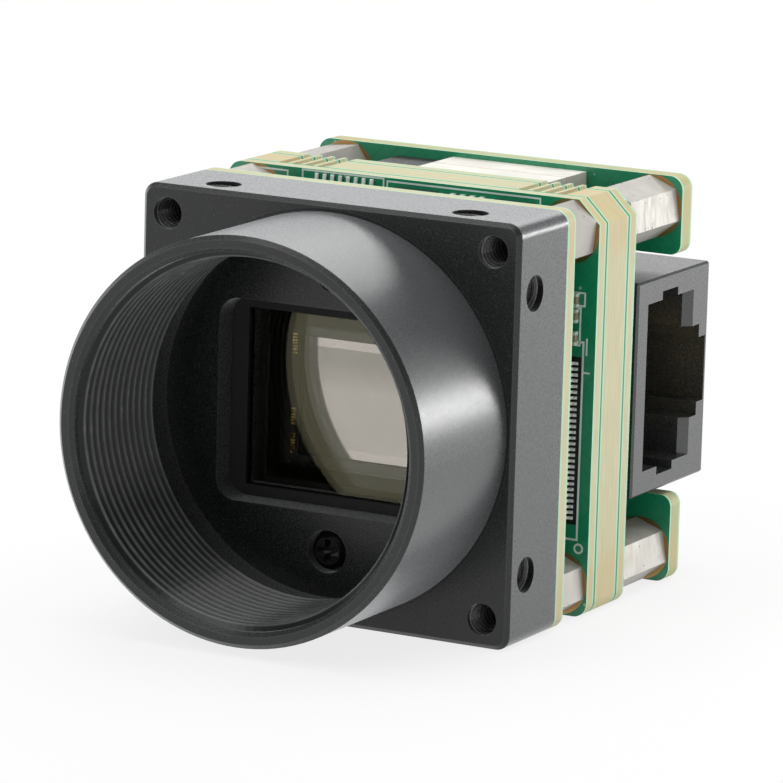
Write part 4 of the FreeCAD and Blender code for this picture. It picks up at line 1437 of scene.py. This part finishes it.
@dataclass
class RearBoardMarks(SubAssembly):
    """Everything printed or soldered on the rear face of the rear board."""

    pads: tuple[Patch, ...] = (
        (-12.72, 2.05, 2.5, 1.25), (-12.72, -1.78, 2.5, 0.9),
        (-12.72, -3.5, 2.5, 0.95), (-12.72, -7.42, 2.5, 0.95),
        (-7.05, 10.0, 0.75, 0.95), (-8.75, 10.0, 0.75, 0.95),
        (-12.1, 7.45, 1.4, 0.7), (-12.1, 5.15, 1.4, 0.7),
        (-11.85, 3.8, 0.7, 1.4), (-13.65, 3.8, 0.8, 1.4),
        (-3.65, 2.3, 0.55, 1.35), (-5.85, 2.3, 0.75, 1.35),
        (-6.95, 2.3, 0.5, 1.35), (-9.15, 2.3, 0.75, 1.35),
        (-10.2, -0.5, 1.3, 2.5), (-4.95, -0.5, 0.8, 2.5),
        (8.6, 11.85, 0.5, 0.55), (7.5, 11.85, 0.5, 0.55),
        (-11.75, -8.8, 0.5, 0.55), (-12.85, -8.8, 0.5, 0.55),
        (8.9, -12.3, 0.5, 0.55), (7.8, -12.3, 0.5, 0.55),
    )
    vias: tuple[Place, ...] = (
        (2.3, -9.6), (1.6, -9.6), (0.9, -9.6), (1.7, -11.2), (1.7, -11.8), (1.7, -13.0), (1.7, -13.5),
        (0.9, -12.3), (0.9, -13.0), (11.4, -9.5), (9.5, -13.3), (-1.7, 7.7), (-13.3, 5.9), (-13.3, 6.4),
        (-1.6, 2.4), (-2.3, 1.8), (-10.4, -9.9), (4.6, 9.6), (10.3, 10.0),
    )
    chip_up: float = 6.2
    chip_pitch: float = 1.27
    chip_leads: int = 4
    chip_pads: tuple[Point, ...] = ((-3.35, 1.3, 0.68), (-9.7, 1.5, 0.68))
    bridges: tuple[float, ...] = (-4.1, -8.15)
    bridge_pad: float = 0.95
    bridge_half: float = 1.25
    bridge_rows: tuple[float, ...] = (-3.5, -8.2)
    bridge_mark: Place = (-3.35, 0.62)
    diodes: tuple[float, ...] = (-0.75, -3.1, -5.45, -8.0)
    diode_pads: tuple[Point, ...] = ((-9.72, 1.15, 0.75), (-13.28, 1.15, 0.7))
    target: Place = (-2.17, 10.39)
    target_ring: float = 1.02
    target_disc: Place = (0.46, 0.4)
    pad_thickness: float = 0.05
    pad_taper: float = 0.9
    via_disc: Place = (0.13, 0.11)
    via_height: float = 0.01
    code_middle: Place = (4.99, -11.64)
    code_square: float = 3.5

    def build(self) -> None:
        """Build outlines, pads, solder, via holes and the code patch."""
        self._outlines()
        self._solder()
        self._vias()
        x, z = self.code_middle
        CellCode(self.paint, self.levels, "board_code", (x, self.levels.rear_face, z),
                 square=self.code_square).build()

    def _outlines(self) -> None:
        """Build the printed outlines."""
        SilkMarks(
            self.paint, self.levels, "rear_outlines", Face.REAR, self.levels.rear_face,
            frames=(
                (-6.4, -9.45, 9.3, 10.75), (-2.15, -11.0, 3.35, 9.12), (-11.2, -13.1, 4.95, 8.0),
                (-11.2, -14.2, 3.0, 4.72), (-2.95, -6.35, 1.4, 3.08), (-6.35, -9.7, 1.4, 3.08),
                (-11.25, -14.2, -2.5, 2.8), (-11.25, -14.2, -8.2, -2.72),
                (-1.95, -6.1, -9.0, -2.75), (-6.1, -10.2, -9.0, -2.75),
                (-11.45, -13.3, -9.25, -8.38), (-9.95, -10.85, 0.9, -1.9)),
            corners=((9.05, 7.05, 11.25, 12.45), (9.3, 7.3, -12.9, -11.7)),
            wedges=(((-9.75, 3.2), (-11.0, 3.2), (-10.05, 2.0)),
                    ((-11.25, 8.35), (-11.85, 8.35), (-11.5, 8.7)),
                    ((-1.4, -3.9), (-1.75, -3.6), (-1.75, -4.2))),
            crosses=((0.26, -9.05), (-4.22, -9.3), (-9.63, -10.2), (-3.85, -2.3), (-12.2, -2.6)),
            dashes=((-2.4, -2.35, 0.55, 0.12), (-8.6, -9.35, 0.5, 0.12), (-2.4, -9.35, 0.12, 0.4),
                    (-6.9, -9.35, 0.12, 0.4), (-10.9, -5.0, 0.12, 0.8), (-11.0, -2.9, 0.4, 0.12)),
            circles=((*self.target, self.target_ring),)).build()

    def _solder(self) -> None:
        """Build tinned pads, and the round target's middle."""
        top = self.levels.rear_face
        shape = Shape()
        pads = list(self.pads)
        for number in range(self.chip_leads):
            z = self.chip_up + (number - (self.chip_leads - 1) / 2) * self.chip_pitch
            pads += [(x, z, width, length) for x, width, length in self.chip_pads]
        up, side_length = self.bridge_mark
        for x in self.bridges:
            pads += [(x + side * self.bridge_half, z, self.bridge_pad, self.bridge_pad)
                     for side in (-1, 1) for z in self.bridge_rows]
            pads.append((x, up, side_length, side_length))
        for x in self.diodes:
            pads += [(x, z, width, length) for z, width, length in self.diode_pads]
        for x, z, width, length in pads:
            shape.slab(x, z, width, length, top, top + self.pad_thickness, self.pad_taper)
        shape.disc(self.target, *self.target_disc, top, top + self.pad_thickness, count=32)
        shape.finish("rear_pads", self.finish_of("tin"), 0.03)

    def _vias(self) -> None:
        """Build the small filled via holes."""
        top = self.levels.rear_face
        shape = Shape()
        for via in self.vias:
            shape.disc(via, *self.via_disc, top, top + self.via_height, count=16)
        shape.finish("rear_vias", self.finish_of("via_dark"))


@dataclass
class JackDetail(SubAssembly):
    """Cells on the jack's label, and black sheets of painted shade at the openings and the dimple of its
    shell.
    """

    label_middle: Place = (6.75, -0.75)
    label_sink: float = 0.027
    label_turn: float = -1.2
    code_size: float = 2.7
    openings: tuple[Point, ...] = ((4.75, 2.4, 2.6), (-5.95, 2.4, 2.6), (-0.6, 0.25, 3.6))
    opening_setback: float = 0.35
    opening_width: float = 0.03
    shell_left: float = -0.5
    dimple: Place = (8.1, -3.6)
    dimple_radius: float = 0.28
    dimple_depth: float = 0.01
    dimple_height: float = 0.012

    def build(self) -> None:
        """Build the cells, and the painted shade at the openings and the dimple."""
        x, z = self.label_middle
        face = level_of("jack_label", 1) - self.label_sink
        CellCode(self.paint, self.levels, "label_code", (x, face, z), self.label_turn, self.code_size).build()
        rear = level_of("network_jack", 1)
        # Black sheets of painted shade where the shell's openings and dimple are.
        dark = Shape()
        for middle, length, depth in self.openings:
            dark.slab(self.shell_left, middle, self.opening_width, length,
                      rear - depth, rear - self.opening_setback)
        dark.disc(self.dimple, self.dimple_radius, self.dimple_radius,
                  rear - self.dimple_depth, rear + self.dimple_height, count=20)
        dark.finish("jack_painted_opening_shade", self.finish_of("painted_opening_shade"))


@dataclass
class GapMarks(SubAssembly):
    """Printed outlines and small parts inside the gaps of the stack."""

    line: float = 0.14

    def build(self) -> None:
        """Build the marks beside the links and round the transformer, and the parts above it."""
        given = (self.paint, self.levels)
        SilkMarks(*given, "core_front_outlines", Face.FRONT, self.levels.core_front, self.line,
                  frames=((8.5, 13.6, -9.1, 4.7),),
                  dashes=((13.9, 2.6, 0.5, 0.12), (13.85, 4.4, 0.12, 1.2)),
                  circles=((13.75, -9.7, 0.3),)).build()
        SilkMarks(*given, "sensor_rear_outlines", Face.REAR, self.levels.sensor_rear, self.line,
                  frames=((-8.5, -13.6, -5.3, 8.5),), circles=((-13.8, -6.0, 0.3),)).build()
        SilkMarks(*given, "core_rear_outlines", Face.REAR, self.levels.core_rear, self.line,
                  frames=((-2.2, -13.95, -7.9, 7.9),), circles=((-13.6, -8.7, 0.28),)).build()
        SmallParts(*given, ("gap_parts", "gap_part_ends"), "amber_ceramic", self.levels.core_rear,
                   Face.REAR, places=((-12.4, 9.0), (-13.35, 9.0)), body=(0.5, 0.55, 0.4),
                   cap=(0.52, 0.26, 0.43), cap_offset=0.4).build()


@dataclass(frozen=True)
class Panel:
    """A soft rectangular light that faces the part; lengths are in metres."""

    name: str
    place: Point
    width: float
    height: float
    radiance: float
    aim: Point = (0.0, 0.02, 0.0)

    def build(self) -> None:
        """Build the lamp, with its power worked out from its radiance and its area."""
        data = bpy.data.lights.new(self.name, "AREA")
        data.shape = "RECTANGLE"
        data.size, data.size_y = self.width, self.height
        data.energy = self.radiance * math.pi * self.width * self.height
        lamp = bpy.data.objects.new(self.name, data)
        lamp.location = self.place
        lamp.rotation_mode = "QUATERNION"
        lamp.rotation_quaternion = (Vector(self.aim) - lamp.location).to_track_quat("-Z", "Y")
        lamp.visible_camera = False
        bpy.context.scene.collection.objects.link(lamp)


@dataclass
class Studio:
    """Floor, light and the camera that looks at the part."""

    panels: tuple[Panel, ...] = (
        Panel("overhead_panel", (0.0, 0.1, 0.55), 0.6, 0.5, 2.2),
        Panel("back_left_panel", (-0.15, 0.56, 0.33), 0.42, 0.2, 3.2),
        Panel("back_right_panel", (0.3, 0.52, 0.02), 0.5, 0.08, 12.5),
        Panel("front_panel", (-0.2, -0.4, 0.42), 0.35, 0.25, 3.0),
    )
    floor_reach: float = 3.0
    floor_tone: float = 0.86
    floor_glow: float = 0.8
    sky: tuple[Place, ...] = ((0.0, 1.0), (0.22, 1.0), (0.35, 0.3), (0.75, 0.3), (1.0, 0.75))
    pivot: Point = (0.0, 11.75, 0.0)
    azimuth: float = 28.07
    elevation: float = 11.42
    roll: float = 1.64
    distance: float = 385.2
    side_step: float = 4.31
    rise: float = 1.26
    lens: float = 262.0
    clip: Place = (0.01, 20.0)

    def build(self, low: Vector, high: Vector) -> None:
        """Build floor, lamps, world and camera.

        Args:
            low: Lowest corner of the part, in metres.
            high: Highest corner of the part, in metres.
        """
        self._floor(low.z)
        self._world()
        for panel in self.panels:
            panel.build()
        self._camera((low + high) / 2)

    def _floor(self, level: float) -> None:
        """Build the pale floor, which shows nearly white to the camera, in gloss and through glass.

        Args:
            level: The floor's height, in metres.
        """
        data = bpy.data.meshes.new("floor")
        ways = ((-1, -1), (1, -1), (1, 1), (-1, 1))
        corners = [(x * self.floor_reach, y * self.floor_reach, level) for x, y in ways]
        data.from_pydata(corners, [], [(0, 1, 2, 3)])
        floor = bpy.data.objects.new("floor", data)
        bpy.context.scene.collection.objects.link(floor)
        w = Wiring("pale_floor")
        w.plain(Base_Color=(self.floor_tone,) * 3, Roughness=0.9, Specular_IOR_Level=0.0)
        glow = w.node("Emission")
        w.fill(glow.inputs["Color"], (1.0, 1.0, 1.0))
        rays = w.node("LightPath").outputs
        seen = w.math("MAXIMUM", rays["Is Camera Ray"], rays["Is Glossy Ray"])
        seen = w.math("MAXIMUM", seen, rays["Is Transmission Ray"])
        share = w.math("MULTIPLY", seen, self.floor_glow)
        shown = w.mix("MixShader", share, w.shader.outputs[0], glow.outputs[0])
        w.join(shown, w.output.inputs["Surface"])
        data.materials.append(w.material)
        floor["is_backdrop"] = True

    def _world(self) -> None:
        """Build a backdrop that the camera sees white, and that lights and reflects by height."""
        world = bpy.data.worlds.new("studio")
        world.use_nodes = True
        w = NodeWork(world.node_tree)
        ramp = w.node("ValToRGB")
        steps = ramp.color_ramp.elements
        steps[0].position, steps[1].position = self.sky[0][0], self.sky[-1][0]
        for position, _ in self.sky[1:-1]:
            steps.new(position)
        for step, (_, tone) in zip(steps, self.sky):
            step.color = (tone, tone, tone, 1.0)
        shade, white = w.node("Background"), w.node("Background")
        w.fill(white.inputs["Color"], (1.0, 1.0, 1.0))
        _, _, height = w.parts(w.node("TexCoord").outputs["Generated"])
        w.join(height, ramp.inputs["Fac"])
        w.join(ramp.outputs["Color"], shade.inputs["Color"])
        seen = w.node("LightPath").outputs["Is Camera Ray"]
        shown = w.mix("MixShader", seen, shade.outputs[0], white.outputs[0])
        w.join(shown, w.node("OutputWorld").inputs["Surface"])
        bpy.context.scene.world = world

    def _camera(self, centre: Vector) -> None:
        """Build the camera, which keeps its place and is turned to face the part's middle.

        Args:
            centre: Middle of the part, in metres.
        """
        turn, rise, roll = (math.radians(a) for a in (self.azimuth, self.elevation, self.roll))
        back = Vector((math.sin(turn) * math.cos(rise), -math.cos(turn) * math.cos(rise), math.sin(rise)))
        level = Vector((math.cos(turn), math.sin(turn), 0))
        upright = back.cross(level)
        right = math.cos(roll) * level + math.sin(roll) * upright
        above = -math.sin(roll) * level + math.cos(roll) * upright
        place = (Vector(self.pivot) + right * self.side_step + above * self.rise + back * self.distance) * MM
        aim = (place - centre).normalized()
        lens_right = above.cross(aim).normalized()
        lens_up = aim.cross(lens_right)
        data = bpy.data.cameras.new("camera")
        data.lens = self.lens
        data.clip_start, data.clip_end = self.clip
        camera = bpy.data.objects.new("camera", data)
        grid = Matrix((lens_right, lens_up, aim)).transposed().to_4x4()
        camera.matrix_world = Matrix.Translation(place) @ grid
        bpy.context.scene.collection.objects.link(camera)
        bpy.context.scene.camera = camera


class VisionCamera:
    """The whole part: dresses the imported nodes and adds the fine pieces."""

    finishes: dict[str, str] = {
        "front_housing": "black_anodising", "filter_frame": "matt_black_mask",
        "filter_glass": "coated_glass", "sensor_cover_glass": "cover_glass",
        "sensor_package": "sensor_ceramic", "sensor_die": "polished_silicon",
        "floor_screws": "black_oxide", "rear_screw": "black_oxide", "board_nuts": "nickel",
        "front_standoff": "nickel", "rear_standoff": "nickel", "sensor_board": "circuit_board",
        "core_front_board": "core_layers", "core_spacer_frame": "core_layers",
        "core_rear_board": "core_layers", "rear_board": "rear_layers",
        "processor_chip": "chip_compound", "memory_chip": "chip_compound",
        "lan_transformer_leads": "tin", "lan_transformer": "chip_compound",
        "power_inductor": "chip_compound", "power_chip_leads": "tin", "power_chip": "chip_compound",
        "bridge_rectifier": "chip_compound", "bridge_leads": "tin",
        "surge_diode_ends": "tin", "surge_diode": "chip_compound",
        "diode_row_ends": "tin", "diode_row": "chip_compound",
        "link_plug": "connector_black", "link_socket": "connector_black",
        "mezzanine": "connector_cream", "large_capacitors_ends": "tin",
        "middle_capacitors_ends": "tin", "small_capacitors_ends": "tin", "chip_resistors_ends": "tin",
        "large_capacitors": "capacitor_ceramic", "middle_capacitors": "amber_ceramic",
        "small_capacitors": "amber_ceramic", "chip_resistors": "resistor_glaze",
        "edge_parts": "tin", "network_jack": "jack_plastic", "jack_contacts": "gold",
        "jack_label": "label_paper",
    }

    softened: tuple[str, ...] = ("processor_chip", "memory_chip", "lan_transformer", "power_inductor",
                                 "power_chip", "bridge_rectifier", "surge_diode", "diode_row",
                                 "large_capacitors", "middle_capacitors", "network_jack", "mezzanine")
    softness: float = 0.05
    soft_angle: float = 40.0

    def __init__(self, nodes: dict[str, bpy.types.Object]) -> None:
        """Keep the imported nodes, read the levels and build the finishes.

        Args:
            nodes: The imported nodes' objects by name.
        """
        self.nodes = nodes
        self.levels = Levels.read()
        self.paint = Paintbox(self.levels)

    def dress(self) -> None:
        """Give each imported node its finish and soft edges."""
        for name, node in self.nodes.items():
            known = [key for key in self.finishes if name.startswith(key)]
            finish = self.finishes[max(known, key=len)]
            self.paint.dress_node(node, finish)
            if name.startswith(self.softened):
                soften(node, self.softness, self.soft_angle)
            LOG.info("%s: %s", name, finish)

    def detail(self) -> None:
        """Build every fine piece."""
        given = (self.paint, self.levels)
        for assembly in (LensMount(*given), ImageSensor(*given), BoardLink(*given),
                         BoardLink(*given, up=1.6, side=-1), EdgeRow(*given),
                         RearBoardMarks(*given), JackDetail(*given), GapMarks(*given)):
            assembly.build()
            LOG.info("%s done", type(assembly).__name__)


def main() -> None:
    """Build the scene in order."""
    logging.basicConfig(level=logging.INFO, format="%(name)s %(message)s")
    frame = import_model()
    cad_box = [[float(v) for v in corner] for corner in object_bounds()]
    low, high = (Vector(corner) for corner in cad_box)
    camera = VisionCamera(frame["nodes"])
    camera.dress()
    camera.detail()
    Studio().build(low, high)
    bpy.context.scene.view_settings.view_transform = "Standard"


if __name__ == "__main__":
    main()
